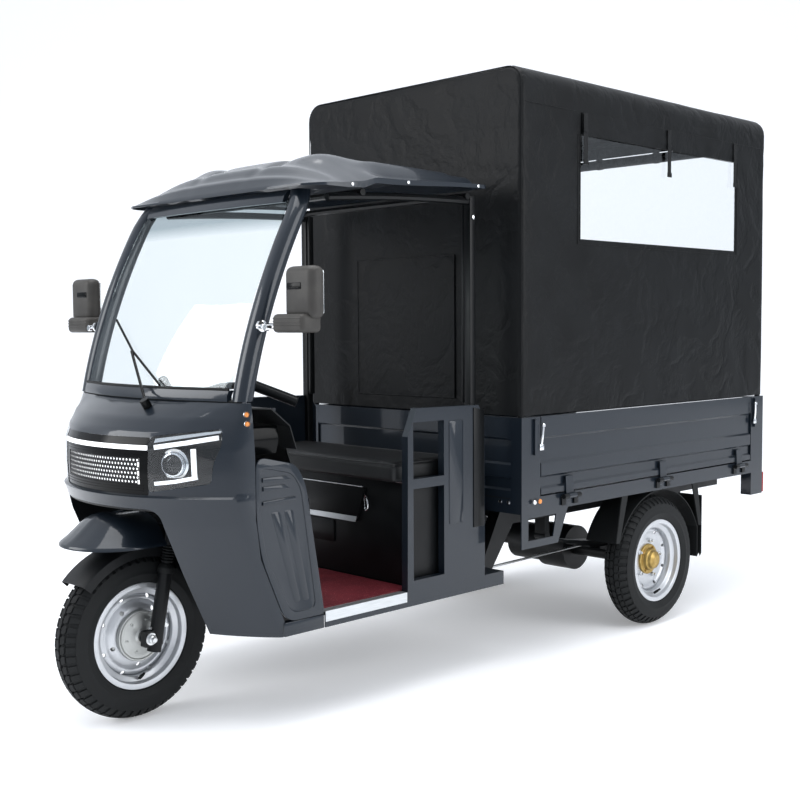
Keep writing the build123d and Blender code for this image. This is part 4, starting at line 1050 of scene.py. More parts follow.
rows = fender_rows(0.0)
columns = len(rows[0])
crown_row = [Vector((p.x * 0.3, p.y + (fender_side - p.y) * 0.5, fender_rim + 0.093)) for p in rows[-1]]
rows.append(crown_row)
vertices = [p for row in rows for p in row]
fender = mesh_piece("front_fender_shell", vertices, sheet_faces(len(rows), columns), body_paint, 50.0)
thickened(fender, 0.003, 50.0)
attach(fender, "steering")
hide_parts("front_fender")

skirt_radius = 0.284
skirt_half = 0.072
vertices = []
for step in range(25):
    angle = math.radians(-48 + 62 * step / 24)
    for u, r in ((-skirt_half, skirt_radius - 0.032), (-skirt_half * 0.94, skirt_radius - 0.006),
                 (-skirt_half * 0.8, skirt_radius), (skirt_half * 0.8, skirt_radius),
                 (skirt_half * 0.94, skirt_radius - 0.006), (skirt_half, skirt_radius - 0.032)):
        vertices.append(front_centre + Vector((u, r * math.sin(angle), r * math.cos(angle))))
skirt = mesh_piece("fender_inner_skirt", vertices, sheet_faces(25, 6), textured_abs)
thickened(skirt, 0.0025)
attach(skirt, "steering")

# Fork: black painted tubes, the lower legs of a larger bore with a dust seal, cast clamps
# at the foot, an axle with a nut each side and a brake arm with its cable.
black_paint, tree = new_material("satin_black_stove_enamel")
place = add_node(tree, "ShaderNodeTexCoord").outputs["Object"]
wave = add_node(tree, "ShaderNodeTexNoise", {"Vector": place, "Scale": 160.0, "Detail": 3.0})
peel = add_node(tree, "ShaderNodeBump", {"Height": wave, "Strength": 0.12, "Distance": 0.0008})
dust = add_node(tree, "ShaderNodeTexNoise", {"Vector": place, "Scale": 18.0, "Detail": 6.0})
tone = add_node(tree, "ShaderNodeValToRGB", {"Fac": dust}, tones=("#08090a", "#121416"))
dry = add_node(tree, "ShaderNodeMapRange", {"Value": dust, "To Min": 0.24, "To Max": 0.5})
close_material(tree, {
    "Base Color": tone, "Roughness": dry, "Normal": peel,
})


def pipe(points, radius, smooth=True, sides=8):
    """Vertices and faces of a round tube or wire along a few points."""
    curve = bpy.data.curves.new("run", "CURVE")
    curve.dimensions = "3D"
    curve.bevel_depth = radius
    curve.bevel_resolution = max(1, sides // 4)
    curve.use_fill_caps = True
    run = curve.splines.new("NURBS" if smooth else "POLY")
    run.points.add(len(points) - 1)
    for spot, point in zip(run.points, points):
        spot.co = (*point, 1.0)
    if smooth:
        run.order_u = 3
        run.use_endpoint_u = True
        run.resolution_u = 6
    drawn = bpy.data.objects.new("run", curve)
    bpy.context.scene.collection.objects.link(drawn)
    bpy.context.view_layer.update()
    mesh = bpy.data.meshes.new_from_object(drawn.evaluated_get(bpy.context.evaluated_depsgraph_get()))
    cells = ([v.co.copy() for v in mesh.vertices], [tuple(p.vertices) for p in mesh.polygons])
    bpy.data.objects.remove(drawn)
    bpy.data.curves.remove(curve)
    bpy.data.meshes.remove(mesh)
    return cells


def repaint(node, material):
    """Give a kept CAD node its finished material."""
    nodes[node].data.materials.clear()
    nodes[node].data.materials.append(material)


repaint("fork", black_paint)
rake = math.radians(11.0)
steer_up = Vector((0, math.sin(rake), math.cos(rake)))
steer_back = Vector((0, math.cos(rake), -math.sin(rake)))
leg_half = 0.086
leg_foot = front_centre + steer_back * 0.026
for side, word in ((1, "left"), (-1, "right")):
    foot = leg_foot + Vector((side * leg_half, 0, 0))
    seal = rounded([(0.0, 0.0225), (0.0, 0.026), (0.016, 0.026), (0.026, 0.02), (0.03, 0.0165)], 0.002)
    parts = [facing(seal, foot + steer_up * 0.205, steer_up)]
    for low in range(6):
        ring = [(0.0, 0.0165), (0.004, 0.0215), (0.008, 0.0165)]
        parts.append(facing(ring, foot + steer_up * (0.238 + 0.009 * low), steer_up, 24))
    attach(joined(f"fork_gaiter_{word}", parts, rubber), "steering")
    outer = Vector((side, 0, 0))
    end = front_centre + outer * (leg_half + 0.0145)
    hardware = [stud(end, outer, 0.0145, 0.013), stud(end + outer * 0.013, outer, 0.0085, 0.01, 12)]
    hardware.append(facing([(0.0, 0.01), (0.0, 0.019), (0.0022, 0.019), (0.0022, 0.01)], end, outer, 24))
    for drop in (-0.012, 0.03):
        spot = foot - steer_back * 0.023 + steer_up * drop
        hardware.append(stud(spot, -steer_back, 0.006, 0.007))
    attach(joined(f"fork_axle_nut_{word}", hardware, zinc), "steering")
arm_root = front_centre + Vector((0.05, 0.03, 0.052))
arm = joined("brake_arm", [
    prism(
        eased_ring([(0.0, -0.008), (0.075, -0.006), (0.075, 0.006), (0.0, 0.008)], 0.004), "Z", -0.002,
        0.002,
    ),
], zinc)
arm.matrix_world = Matrix.Translation(arm_root) @ Matrix.Rotation(
    math.radians(60), 4, "X",
) @ Matrix.Rotation(math.radians(90), 4, "Y")
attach(arm, "steering")
cable_run = [
    arm_root + Vector((0.006, 0.012, 0.03)), arm_root + Vector((0.018, 0.05, 0.12)),
    arm_root + Vector((0.012, 0.058, 0.22)), (0.04, -1.25, 0.6),
]
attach(joined("front_brake_cable", [pipe(cable_run, 0.003)], rubber), "steering")


# Windscreen: one curved pane of laminated glass with a pale shade band, in a glossy
# painted tube surround with a rubber gasket; the top ends run up under the roof.
glass, tree = new_material("laminated_clear_glass")
place = add_node(tree, "ShaderNodeTexCoord").outputs["Object"]
film = add_node(tree, "ShaderNodeTexNoise", {"Vector": place, "Scale": 3.0, "Detail": 6.0})
veil = add_node(tree, "ShaderNodeMapRange", {"Value": film, "To Min": 0.03, "To Max": 0.08})
height = add_node(tree, "ShaderNodeSeparateXYZ", {"Vector": place})
band = add_node(
    tree, "ShaderNodeMapRange", {"Value": height.outputs["Z"], "From Min": 1.515, "From Max": 1.56},
)
shade = add_node(tree, "ShaderNodeMixRGB", {
    "Fac": band, "Color1": linear("#f5f8f8"), "Color2": linear("#cfd6d8"),
})
gloss = add_node(tree, "ShaderNodeBsdfGlossy", {"Color": linear("#eef3f6"), "Roughness": 0.03})
through = add_node(tree, "ShaderNodeBsdfTransparent", {"Color": shade})
pane_mix = add_node(tree, "ShaderNodeMixShader", {0: veil, 1: through, 2: gloss})
add_node(tree, "ShaderNodeOutputMaterial", {"Surface": pane_mix})

screen_levels = ((1.006, -1.341, -1.256), (1.32, -1.224, -1.164), (1.646, -1.018, -1.006))


def screen_y(x, z):
    """Front face of the windscreen at a point of its front view."""
    total = [0.0, 0.0]
    for k, (level, middle, edge) in enumerate(screen_levels):
        others = [other[0] for m, other in enumerate(screen_levels) if m != k]
        weight = (z - others[0]) * (z - others[1]) / ((level - others[0]) * (level - others[1]))
        total[0] += weight * middle
        total[1] += weight * edge
    share = (x / 0.454) ** 2
    return total[0] * (1 - share) + total[1] * share


def soft_box(low, high, radius=0.004, segments=2):
    """Vertices and faces of a box with rounded edges."""
    work = bmesh.new()
    size = [b - a for a, b in zip(low, high)]
    middle = [(a + b) / 2 for a, b in zip(low, high)]
    bmesh.ops.create_cube(work, size=1.0, matrix=Matrix.Translation(middle) @ Matrix.Diagonal((*size, 1.0)))
    bmesh.ops.bevel(work, geom=work.edges, offset=radius, segments=segments, profile=0.5, affect="EDGES")
    work.verts.index_update()
    cells = ([v.co.copy() for v in work.verts], [tuple(v.index for v in f.verts) for f in work.faces])
    work.free()
    return cells


def swept(points, half_x, half_y, power=2.6, sides=20):
    """Vertices and faces of a squarish tube through points, its section level."""
    vertices = []
    for x, y, z in points:
        for step in range(sides):
            turn = 2 * math.pi * step / sides
            c, s = math.cos(turn), math.sin(turn)
            vertices.append(Vector((
                x + half_x * math.copysign(abs(c) ** (2 / power), c),
                y + half_y * math.copysign(abs(s) ** (2 / power), s), z,
            )))
    faces = []
    for r in range(len(points) - 1):
        for c in range(sides):
            d = (c + 1) % sides
            faces.append((r * sides + c, r * sides + d, (r + 1) * sides + d, (r + 1) * sides + c))
    faces.append(tuple(range(sides - 1, -1, -1)))
    faces.append(tuple(range((len(points) - 1) * sides, len(points) * sides)))
    return vertices, faces


frame_parts = []
for side in (1, -1):
    run = []
    for step in range(21):
        z = 1.008 + 0.636 * step / 20
        x = 0.4255 - 0.03 * max(0.0, (z - 1.56) / 0.09) ** 2
        run.append((side * x, screen_y(0.44, z) + 0.027, z))
    frame_parts.append(swept(run, 0.028, 0.029))


def screen_strip(z_low, z_high, half, setback, wall, drop=0.0):
    """A level strip that follows the windscreen's curve."""
    vertices = []
    for r, z in enumerate((z_low, (z_low + z_high) / 2, z_high)):
        for c in range(33):
            x = half * (c / 16 - 1)
            vertices.append(Vector(
                (x, screen_y(x, z) + setback - (0.004 if r == 1 else 0.0), z - drop * (x / half) ** 2),
            ))
    count = len(vertices)
    faces = sheet_faces(3, 33)
    vertices += [v + Vector((0, wall, 0)) for v in vertices]
    faces += [tuple(k + count for k in quad[::-1]) for quad in sheet_faces(3, 33)]
    rim = [*range(33), *(33 * r + 32 for r in (1, 2)), *(66 + c for c in range(31, -1, -1)), 33]
    for a, b in zip(rim, rim[1:] + rim[:1]):
        faces.append((b, a, a + count, b + count))
    return vertices, faces


frame_parts.append(screen_strip(1.0075, 1.04, 0.4, 0.004, 0.018))
frame_parts.append(screen_strip(1.604, 1.644, 0.372, 0.004, 0.018))
surround = joined("windscreen_surround", frame_parts, body_paint, 40.0)
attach(surround, "frame")
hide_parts("windshield_frame")
vertices = []
for r in range(25):
    for c in range(33):
        z = 1.037 + 0.57 * r / 24
        x = 0.3985 * (c / 16 - 1) * (1.0 - 0.03 * max(0.0, (z - 1.5) / 0.1) ** 2)
        vertices.append(Vector((x, screen_y(x, z) + 0.012, z)))
pane = mesh_piece("windscreen_pane", vertices, sheet_faces(25, 33), glass)
thickened(pane, 0.004)
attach(pane, "frame")
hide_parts("windshield_glass")
quarters = [step / 4 for step in range(-4, 5)]
gasket_run = [(x * 0.399, screen_y(x * 0.399, 1.043) + 0.004, 1.043) for x in quarters]
foot_run = [(x * 0.44, screen_y(x * 0.44, 1.008) + 0.012, 1.0065) for x in quarters]
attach(joined("windscreen_gasket", [pipe(gasket_run, 0.0045), pipe(foot_run, 0.0055)], rubber), "frame")
repaint("wiper", lamp_plastic)

# Roof: one moulding painted as the body. A brow with two humps and two creases rises from
# the front lip; behind it a raised deck runs back between side channels, with a turned rim.
roof_half = 0.5215
roof_front = -1.0335
roof_rear = -0.2625


def ramp(value, table):
    """A smooth value between the rows of a table."""
    for (a, p), (b, q) in zip(table, table[1:]):
        if value <= b:
            share = max(0.0, (value - a) / (b - a))
            return p + (q - p) * share * share * (3 - 2 * share)
    return table[-1][1]


rim_heights = ((-1.034, 1.6535), (-0.93, 1.66), (-0.85, 1.669), (-0.76, 1.687), (-0.262, 1.7035))
crown_heights = (
    (-1.034, 1.657), (-1.0, 1.698), (-0.93, 1.742), (-0.82, 1.774), (-0.74, 1.772), (-0.66, 1.762),
    (-0.262, 1.752),
)


def roof_z(x, y):
    """Top face of the roof moulding."""
    rim = ramp(y, rim_heights)
    away = abs(x)
    arch = 1 - (away / roof_half) ** 3.0
    shelf = 0.8 * min(1.0, max(0.0, (0.468 - away) / 0.05)) ** 0.8 + 0.2 * (1 - (away / roof_half) ** 2)
    deck = ramp(y, ((-0.8, 0.0), (-0.66, 1.0)))
    rise = (arch * (1 - deck) + shelf * deck) * (ramp(y, crown_heights) - rim)
    hump = 0.024 * math.exp(-(((away - 0.3) / 0.085) ** 2)) * math.exp(-(((y + 0.79) / 0.085) ** 2))
    crease = 0.011 * math.exp(
        -(((away - 0.165 - 0.16 * (y + 0.9)) / 0.026) ** 2),
    ) * math.exp(-(((y + 0.87) / 0.085) ** 2))
    tail = 0.008 * min(1.0, max(0.0, (y + 0.36) / 0.03)) * min(1.0, max(0.0, (0.44 - away) / 0.03))
    front = min(1.0, max(0.0, (y - roof_front) / 0.02))
    return rim + rise * front ** 0.5 + hump - crease - tail


across_marks = [roof_half * math.sin(math.pi / 2 * (c / 48 - 1) * 0.999) for c in range(97)]
along_marks = [roof_front + (roof_rear - roof_front) * (r / 70) for r in range(71)]
vertices = []
for y in along_marks:
    nip = 1 - 0.13 * (1 - math.sqrt(1 - max(0.0, (-0.955 - y) / 0.079) ** 2))
    row = [Vector((x * nip, y, roof_z(x, y))) for x in across_marks]
    foot = ramp(y, ((-1.034, 1.6475), (-0.9, 1.6475), (-0.84, 1.65), (-0.77, 1.669), (-0.262, 1.6905)))
    vertices += [
        Vector(((-roof_half - 0.0003) * nip, y, foot)), *row,
        Vector(((roof_half + 0.0003) * nip, y, foot)),
    ]
columns = len(across_marks) + 2
faces = sheet_faces(len(along_marks), columns)
for r, y in ((0, roof_front - 0.0003), (len(along_marks) - 1, roof_rear + 0.0003)):
    start = len(vertices)
    top = vertices[r * columns:(r + 1) * columns]
    vertices += [Vector((p.x, y, min(p.z, 1.6475 if r == 0 else 1.6905))) for p in top]
    for c in range(columns - 1):
        quad = (r * columns + c, r * columns + c + 1, start + c + 1, start + c)
        faces.append(quad[::-1] if r == 0 else quad)
roof = mesh_piece("roof_moulding", vertices, faces, body_paint, 50.0)
thickened(roof, 0.003, 50.0, even=True)
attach(roof, "frame")
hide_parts("roof_panel")
screws = []
for side in (1, -1):
    for y, z in ((-0.878, 1.658), (-0.636, 1.682), (-0.3, 1.6965)):
        screws.append(
            stud((side * (roof_half + 0.0004), y, z), Vector((side, 0, 0)), 0.0058, 0.0032, 16, 0.4),
        )
    screws.append(stud((side * 0.4545, -0.25, 1.6), Vector((side, 0, 0)), 0.008, 0.005, 16, 0.4))
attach(joined("roof_screws", screws, chrome), "frame")

# Roof posts and bows: two box-section rear posts in a folded channel, side rails and cross
# bows of round tube, all painted black.
posts = []
for side in (1, -1):
    x = side * 0.438
    posts.append(soft_box((x - 0.0145, -0.2645, 0.342), (x + 0.0145, -0.2355, 1.672), 0.003))
    fold = sorted((x - side * 0.03, x - side * 0.018))
    posts.append(soft_box((fold[0], -0.262, 0.955), (fold[1], -0.238, 1.66), 0.002))
    rail = [(x, -0.262, 1.655), (x, -0.6, 1.652), (x * 0.99, -0.905, 1.625)]
    posts.append(pipe(rail, 0.0125))
for y, z in ((-0.77, 1.648), (-0.2765, 1.67)):
    posts.append(pipe([(-0.452, y, z), (0.452, y, z)], 0.0115, False))
roof_posts = joined("roof_posts", posts, black_paint)
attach(roof_posts, "frame")
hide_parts("cab_pillars")

# Mirrors: a moulded grey head on each side with a dark slot, a deeper ribbed foot that
# holds the clamp, a glass at the back and an arm with a chromed bolt.
grey_abs, tree = new_material("grained_grey_abs")
place = add_node(tree, "ShaderNodeTexCoord").outputs["Object"]
grain = add_node(tree, "ShaderNodeTexNoise", {"Vector": place, "Scale": 900.0, "Detail": 2.0})
skin = add_node(tree, "ShaderNodeBump", {"Height": grain, "Strength": 0.25, "Distance": 0.0004})
dust = add_node(tree, "ShaderNodeTexNoise", {"Vector": place, "Scale": 22.0, "Detail": 6.0})
tone = add_node(tree, "ShaderNodeValToRGB", {"Fac": dust}, tones=("#302f2e", "#484643"))
close_material(tree, {"Base Color": tone, "Roughness": 0.46, "Normal": skin})
mirror_glass, tree = new_material("silvered_mirror_glass")
place = add_node(tree, "ShaderNodeTexCoord").outputs["Object"]
dust = add_node(tree, "ShaderNodeTexNoise", {"Vector": place, "Scale": 40.0, "Detail": 5.0})
wear = add_node(tree, "ShaderNodeMapRange", {"Value": dust, "To Min": 0.02, "To Max": 0.1})
close_material(tree, {"Base Color": linear("#d6dadc"), "Metallic": 1.0, "Roughness": wear})


def across_x(side, near, far):
    """Two distances from the middle as stations on one side, in rising order."""
    return sorted((side * near, side * far))


def spread(into, side, near, far, y, z, radius):
    """Add a rounded box given by its inner and outer distance from the middle."""
    x = across_x(side, near, far)
    into.append(soft_box((x[0], y[0], z[0]), (x[1], y[1], z[1]), radius, 4))


heads = []
slots = []
plates = []
arms = []
for side in (1, -1):
    spread(heads, side, 0.54, 0.667, (-1.17, -1.114), (1.246, 1.3985), 0.022)
    spread(heads, side, 0.514, 0.652, (-1.194, -1.118), (1.208, 1.262), 0.014)
    for rib in range(3):
        spread(
            heads, side, 0.522, 0.644, (-1.1958, -1.188),
            (1.2285 + 0.0095 * rib, 1.2325 + 0.0095 * rib), 0.0018,
        )
    spread(slots, side, 0.556, 0.622, (-1.1712, -1.15), (1.33, 1.352), 0.004)
    spread(slots, side, 0.56, 0.612, (-1.1722, -1.16), (1.3345, 1.3375), 0.001)
    spread(plates, side, 0.552, 0.656, (-1.12, -1.1125), (1.262, 1.386), 0.0035)
    run = [(side * 0.458, -1.186, 1.228), (side * 0.486, -1.186, 1.227), (side * 0.512, -1.172, 1.228)]
    arms.append(pipe(run, 0.008))
    arms.append(stud((side * 0.4545, -1.186, 1.228), Vector((side, 0, 0)), 0.017, 0.01, 24))
    arms.append(stud((side * 0.493, -1.19, 1.224), Vector((0, -1, 0)), 0.0105, 0.012, 24))
mirror_heads = joined("mirror_heads", heads, grey_abs, 40.0)
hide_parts("mirrors")
mirror_slots = joined("mirror_slots", slots, lamp_plastic)
mirror_plates = joined("mirror_glasses", plates, mirror_glass)
mirror_arms = joined("mirror_arms", arms, chrome)
for piece in (mirror_heads, mirror_slots, mirror_plates, mirror_arms):
    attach(piece, "frame")


# Leg shields: moulded panels between nose and door opening, each with a turned rear edge,
# a raised rim round a sunk field, two louvre ribs, a ledge and shallow upright flutes.
def eased(piece, width, segments=2, angle=30.0):
    """Round a piece's real corners with a modifier."""
    ease = piece.modifiers.new("ease", "BEVEL")
    ease.width = width
    ease.segments = segments
    ease.limit_method = "ANGLE"
    ease.angle_limit = math.radians(angle)


def bevelled(piece, width, segments=2, angle=32.0):
    """Round a piece's real corners for good."""
    eased(piece, width, segments, angle)
    settle(piece, 40.0)
    return piece


shield_ring = eased_ring([
    (-1.114, 0.337), (-0.9615, 0.337), (-0.9655, 0.368), (-1.03, 0.745), (-1.066, 0.812), (-1.2215, 0.848),
    (-1.2215, 0.662), (-1.202, 0.541),
], 0.045, 8)
field_ring = eased_ring([
    (-1.09, 0.362), (
        -0.995, 0.362,
    ), (-1.05, 0.735), (-1.082, 0.786), (-1.206, 0.814), (-1.206, 0.664), (-1.186, 0.545),
], 0.03, 8)
rear_fold = [
    (-0.9615, 0.34), (-0.9655, 0.368), (-1.03, 0.745), (-1.062, 0.8), (-1.066, 0.797), (-1.035, 0.742),
    (-0.97, 0.368), (-0.9665, 0.34),
]
for side, word in ((1, "left"), (-1, "right")):
    shell = joined(f"leg_shield_{word}", [prism(shield_ring, "X", *across_x(side, 0.46, 0.469))], body_paint)
    punch(shell, field_ring, "X", *across_x(side, 0.4655, 0.47))
    bevelled(shell, 0.0022, 3)
    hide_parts("leg_shields")
    details = [prism(rear_fold, "X", *across_x(side, 0.41, 0.4602))]
    for low, front, rear in ((0.768, -1.196, -1.096), (0.742, -1.194, -1.1)):
        rib = [
            (front, low), (rear + 0.01, low), (rear, low + 0.004), (rear - 0.012, low + 0.013),
            (front, low + 0.013),
        ]
        details.append(prism(rib, "X", *across_x(side, 0.465, 0.4688)))
    ledge = [(-1.196, 0.7), (-1.07, 0.706), (-1.073, 0.716), (-1.196, 0.711)]
    details.append(prism(ledge, "X", *across_x(side, 0.465, 0.4692)))
    for front, foot in ((-1.166, -1.078), (-1.116, -1.044)):
        flute = eased_ring(
            [(front, 0.676), (front + 0.036, 0.676), (foot + 0.024, 0.392), (foot, 0.392)], 0.012, 4,
        )
        details.append(prism(flute, "X", *across_x(side, 0.4648, 0.466)))
    band = across_x(side, 0.44, 0.4675)
    details.append(soft_box((band[0], -1.119, 0.2925), (band[1], -0.9615, 0.3355), 0.002))
    trim = bevelled(joined(f"leg_shield_ribs_{word}", details, body_paint), 0.001)
    for piece in (shell, trim):
        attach(piece, "frame")

# Side marker lamps: two small round lamps one above the other on each side of the nose,
# a turned amber lens in a bright ring, pushed into the moulding.
amber, tree = new_material("amber_lens_acrylic")
place = add_node(tree, "ShaderNodeTexCoord").outputs["Object"]
flutes = add_node(tree, "ShaderNodeTexWave", {"Vector": place, "Scale": 160.0}, bands_direction="Z")
rib = add_node(tree, "ShaderNodeBump", {"Height": flutes.outputs["Fac"], "Strength": 0.3, "Distance": 0.0006})
close_material(tree, {"Base Color": linear("#d98a4a"), "Roughness": 0.12, "Normal": rib})
lamps = []
rings = []
for side in (1, -1):
    for height in (0.971, 0.944):
        away = Vector((side, 0, 0))
        for shell in (hood, cowl):
            struck, spot, out, _ = shell.ray_cast(Vector((side * 0.6, -1.2467, height)), -away)
            if struck:
                lamps.append(facing(
                    rounded([(0.0, 0.0), (0.0, 0.0072), (0.0035, 0.0058), (0.0048, 0.0)], 0.002), spot,
                    out, 24,
                ))
                rings.append(facing([(0.0, 0.0073), (0.0016, 0.0084), (0.0, 0.0092)], spot, out, 24))
                break
side_lamps = joined("side_marker_lamps", lamps, amber)
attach(side_lamps, "frame")
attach(joined("side_marker_rings", rings, chrome), "frame")

# Side guards: welded box-section frames with two windows; a raised pressed panel and a
# folded channel stand at the rear of each, and the slanted front top is a folded plate.
repaint("side_guards", body_paint)
eased(nodes["side_guards"], 0.003)
plates = []
channels = []
for side in (1, -1):
    x = across_x(side, 0.4678, 0.47)
    plates.append(prism(eased_ring(oblong(-0.392, -0.322, 0.545, 0.902), 0.008, 3), "X", *x))
    x = across_x(side, 0.4678, 0.4715)
    channels.append(prism([(-0.268, 0.52), (-0.212, 0.52), (-0.212, 0.93), (-0.268, 0.94)], "X", *x))
guard_plates = bevelled(joined("guard_pressed_panels", plates, body_paint), 0.0015)
guard_channels = bevelled(joined("guard_channels", channels, black_paint), 0.0012)
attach(guard_plates, "frame")
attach(guard_channels, "frame")

# Seat box: a dark steel box with a drop-down lid, its lower edge in a bright channel, a wire
# pull, a lighter hatch below and bright beads under the cushion.
seat_front = -0.54
box_shell = joined(
    "seat_box_shell", [soft_box((-0.4295, seat_front, 0.3425), (0.4295, -0.2725, 0.6995), 0.006, 3)],
    black_paint,
)
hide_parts("seat_box")
lid = [(-0.335, 0.662), (0.21, 0.662), (0.168, 0.541), (-0.335, 0.541)]
hatch = eased_ring(oblong(-0.335, 0.047, 0.452, 0.532), 0.01, 4)
doors = bevelled(joined("seat_box_doors", [
    prism(lid, "Y", seat_front - 0.01, seat_front + 0.001), prism(
        hatch, "Y", seat_front - 0.004, seat_front + 0.001,
    ),
], black_paint), 0.0015)
aluminium, tree = new_material("brushed_aluminium")
place = add_node(tree, "ShaderNodeTexCoord").outputs["Object"]
run = add_node(tree, "ShaderNodeMapping", {"Vector": place, "Scale": (900.0, 14.0, 900.0)})
brush = add_node(tree, "ShaderNodeTexNoise", {"Vector": run, "Scale": 1.0, "Detail": 3.0})
scratch = add_node(tree, "ShaderNodeBump", {"Height": brush, "Strength": 0.2, "Distance": 0.0003})
tone = add_node(tree, "ShaderNodeValToRGB", {"Fac": brush}, tones=("#a6aaad", "#e0e3e5"))
close_material(tree, {
    "Base Color": tone, "Metallic": 0.85, "Roughness": 0.32, "Normal": scratch,
})
bright = [prism(
    [(-0.335, 0.539), (0.1675, 0.539), (0.173, 0.558), (-0.335, 0.558)], "Y", seat_front - 0.0135,
    seat_front - 0.0095,
)]
bright.append(
    pipe([(-0.426, seat_front - 0.002, 0.6975), (0.428, seat_front - 0.002, 0.6975)], 0.0024, False),
)
bright.append(
    pipe([(-0.33, seat_front - 0.0105, 0.6665), (0.205, seat_front - 0.0105, 0.6665)], 0.0016, False),
)
edges = bevelled(joined("seat_box_bright_edges", bright, aluminium), 0.0006, 1, 50.0)
pull_run = [
    (0.212, 0.637), (0.222, 0.634), (0.226, 0.6), (0.222, 0.586), (0.212, 0.584), (0.208, 0.6),
    (0.209, 0.63), (0.212, 0.637),
]
pull = joined("seat_box_pull", [pipe([(x, seat_front - 0.007, z) for x, z in pull_run], 0.0024)], chrome)
for piece in (box_shell, doors, edges, pull):
    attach(piece, "frame")

# Seat cushion: a foam slab in black vinyl, crowned and tight, with a sewn welt round its
# top edge; the pressure of the foam is worked out as cloth.
vinyl, tree = new_material("black_upholstery_vinyl")
place = add_node(tree, "ShaderNodeTexCoord").outputs["Object"]
pebble = add_node(tree, "ShaderNodeTexVoronoi", {"Vector": place, "Scale": 520.0})
grain = add_node(tree, "ShaderNodeBump", {"Height": pebble, "Strength": 0.3, "Distance": 0.0006})
pull_lines = add_node(tree, "ShaderNodeTexNoise", {"Vector": place, "Scale": 9.0, "Detail": 4.0})
puckers = add_node(tree, "ShaderNodeBump", {
    "Height": pull_lines, "Strength": 0.25, "Distance": 0.006, "Normal": grain,
})
tone = add_node(tree, "ShaderNodeValToRGB", {"Fac": pull_lines}, tones=("#0a0b0c", "#1a1c1e"))
close_material(tree, {
    "Base Color": tone, "Roughness": 0.52, "Normal": puckers,
    "Specular IOR Level": 0.35,
})
slab_low = Vector((-0.4285, -0.62, 0.7035))
slab_high = Vector((0.4285, -0.274, 0.7715))
swell = 0.007
cells = soft_box(
    slab_low + Vector((swell, swell, 0.001)), slab_high - Vector((swell, swell, swell)), 0.014, 4,
)
cushion = joined("seat_pad", [cells], vinyl)
remesh = cushion.modifiers.new("remesh", "REMESH")
remesh.mode = "VOXEL"
remesh.voxel_size = 0.006
settle(cushion)
start = [v.co.copy() for v in cushion.data.vertices]
pressed = cushion.modifiers.new("foam", "CLOTH")
pressed.settings.use_pressure = True
pressed.settings.uniform_pressure_force = 4.0
pressed.settings.effector_weights.gravity = 0.0
for frame_number in range(1, 21):
    bpy.context.scene.frame_set(frame_number)
settle(cushion)
bpy.context.scene.frame_set(1)
for vert, rest in zip(cushion.data.vertices, start):
    move = vert.co - rest
    if move.length > swell:
        vert.co = rest + move * (swell / move.length)
for vert in cushion.data.vertices:
    vert.co = [min(max(c, low), high) for c, low, high in zip(vert.co, slab_low, slab_high)]
detail = cushion.modifiers.new("detail", "SUBSURF")
detail.levels = 1
settle(cushion, 60.0)
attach(cushion, "frame")
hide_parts("seat_cushion")
welt_ring = eased_ring(oblong(-0.418, 0.418, -0.6135, -0.281), 0.018, 5)
welt = joined(
    "seat_pad_welt", [pipe([(x, y, 0.7655) for x, y in [*welt_ring, welt_ring[0]]], 0.0028, False)],
    vinyl,
)
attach(welt, "frame")

# Floor and controls: a maroon vinyl mat with pale flecks laid on the pressed floor, bright
# sill strips screwed over its edges, and the grained black dash and liner.
mat, tree = new_material("flecked_maroon_vinyl_mat")
place = add_node(tree, "ShaderNodeTexCoord").outputs["Object"]
fleck = add_node(tree, "ShaderNodeTexVoronoi", {"Vector": place, "Scale": 130.0})
spots = add_node(tree, "ShaderNodeMapRange", {"Value": fleck, "From Min": 0.14, "From Max": 0.24})
soil = add_node(tree, "ShaderNodeTexNoise", {"Vector": place, "Scale": 12.0, "Detail": 6.0})
base = add_node(tree, "ShaderNodeValToRGB", {"Fac": soil}, tones=("#3f151b", "#7d2f37"))
mixed = add_node(tree, "ShaderNodeMixRGB", {
    "Fac": spots, "Color1": linear("#a8656a"), "Color2": base,
})
raised = add_node(tree, "ShaderNodeBump", {"Height": fleck, "Strength": 0.4, "Distance": 0.001})
close_material(tree, {"Base Color": mixed, "Roughness": 0.42, "Normal": raised})
repaint("floor_mat", mat)
repaint("sill_trims", aluminium)
repaint("cab_floor", body_paint)
repaint("dash_panel", textured_abs)
repaint("arch_liner", textured_abs)
repaint("handlebar", black_paint)
repaint("floor_controls", black_paint)
for name, width in (
    ("bed_headboard", 0.0016), ("cab_floor", 0.002), ("dash_panel", 0.004), ("arch_liner", 0.004),
):
    eased(nodes[name], width)


# Canopy: one sheet of black PVC-coated canvas over steel hoops, its front, sides and rear
# sewn along the corners. It sags a little between the hoops and creases by the seams.
canvas, tree = new_material("black_pvc_coated_canvas")
place = add_node(tree, "ShaderNodeTexCoord").outputs["Object"]
pebble = add_node(tree, "ShaderNodeTexVoronoi", {"Vector": place, "Scale": 420.0})
grain = add_node(tree, "ShaderNodeBump", {"Height": pebble, "Strength": 0.22, "Distance": 0.0006})
drift = add_node(tree, "ShaderNodeTexNoise", {"Vector": place, "Scale": 2.3, "Detail": 2.0})
warp = add_node(tree, "ShaderNodeMixRGB", {"Fac": 0.22, "Color1": place, "Color2": drift.outputs["Color"]})
crease = add_node(tree, "ShaderNodeTexNoise", {"Vector": warp, "Scale": 7.0, "Detail": 5.0})
ridge = add_node(tree, "ShaderNodeMath", {0: crease, 1: 0.5}, operation="SUBTRACT")
fold = add_node(tree, "ShaderNodeMath", {0: ridge}, operation="ABSOLUTE")
soft_fold = add_node(tree, "ShaderNodeMapRange", {"Value": fold, "From Max": 0.09})
creased = add_node(tree, "ShaderNodeBump", {
    "Height": soft_fold, "Strength": 0.32, "Distance": 0.006, "Normal": grain,
})
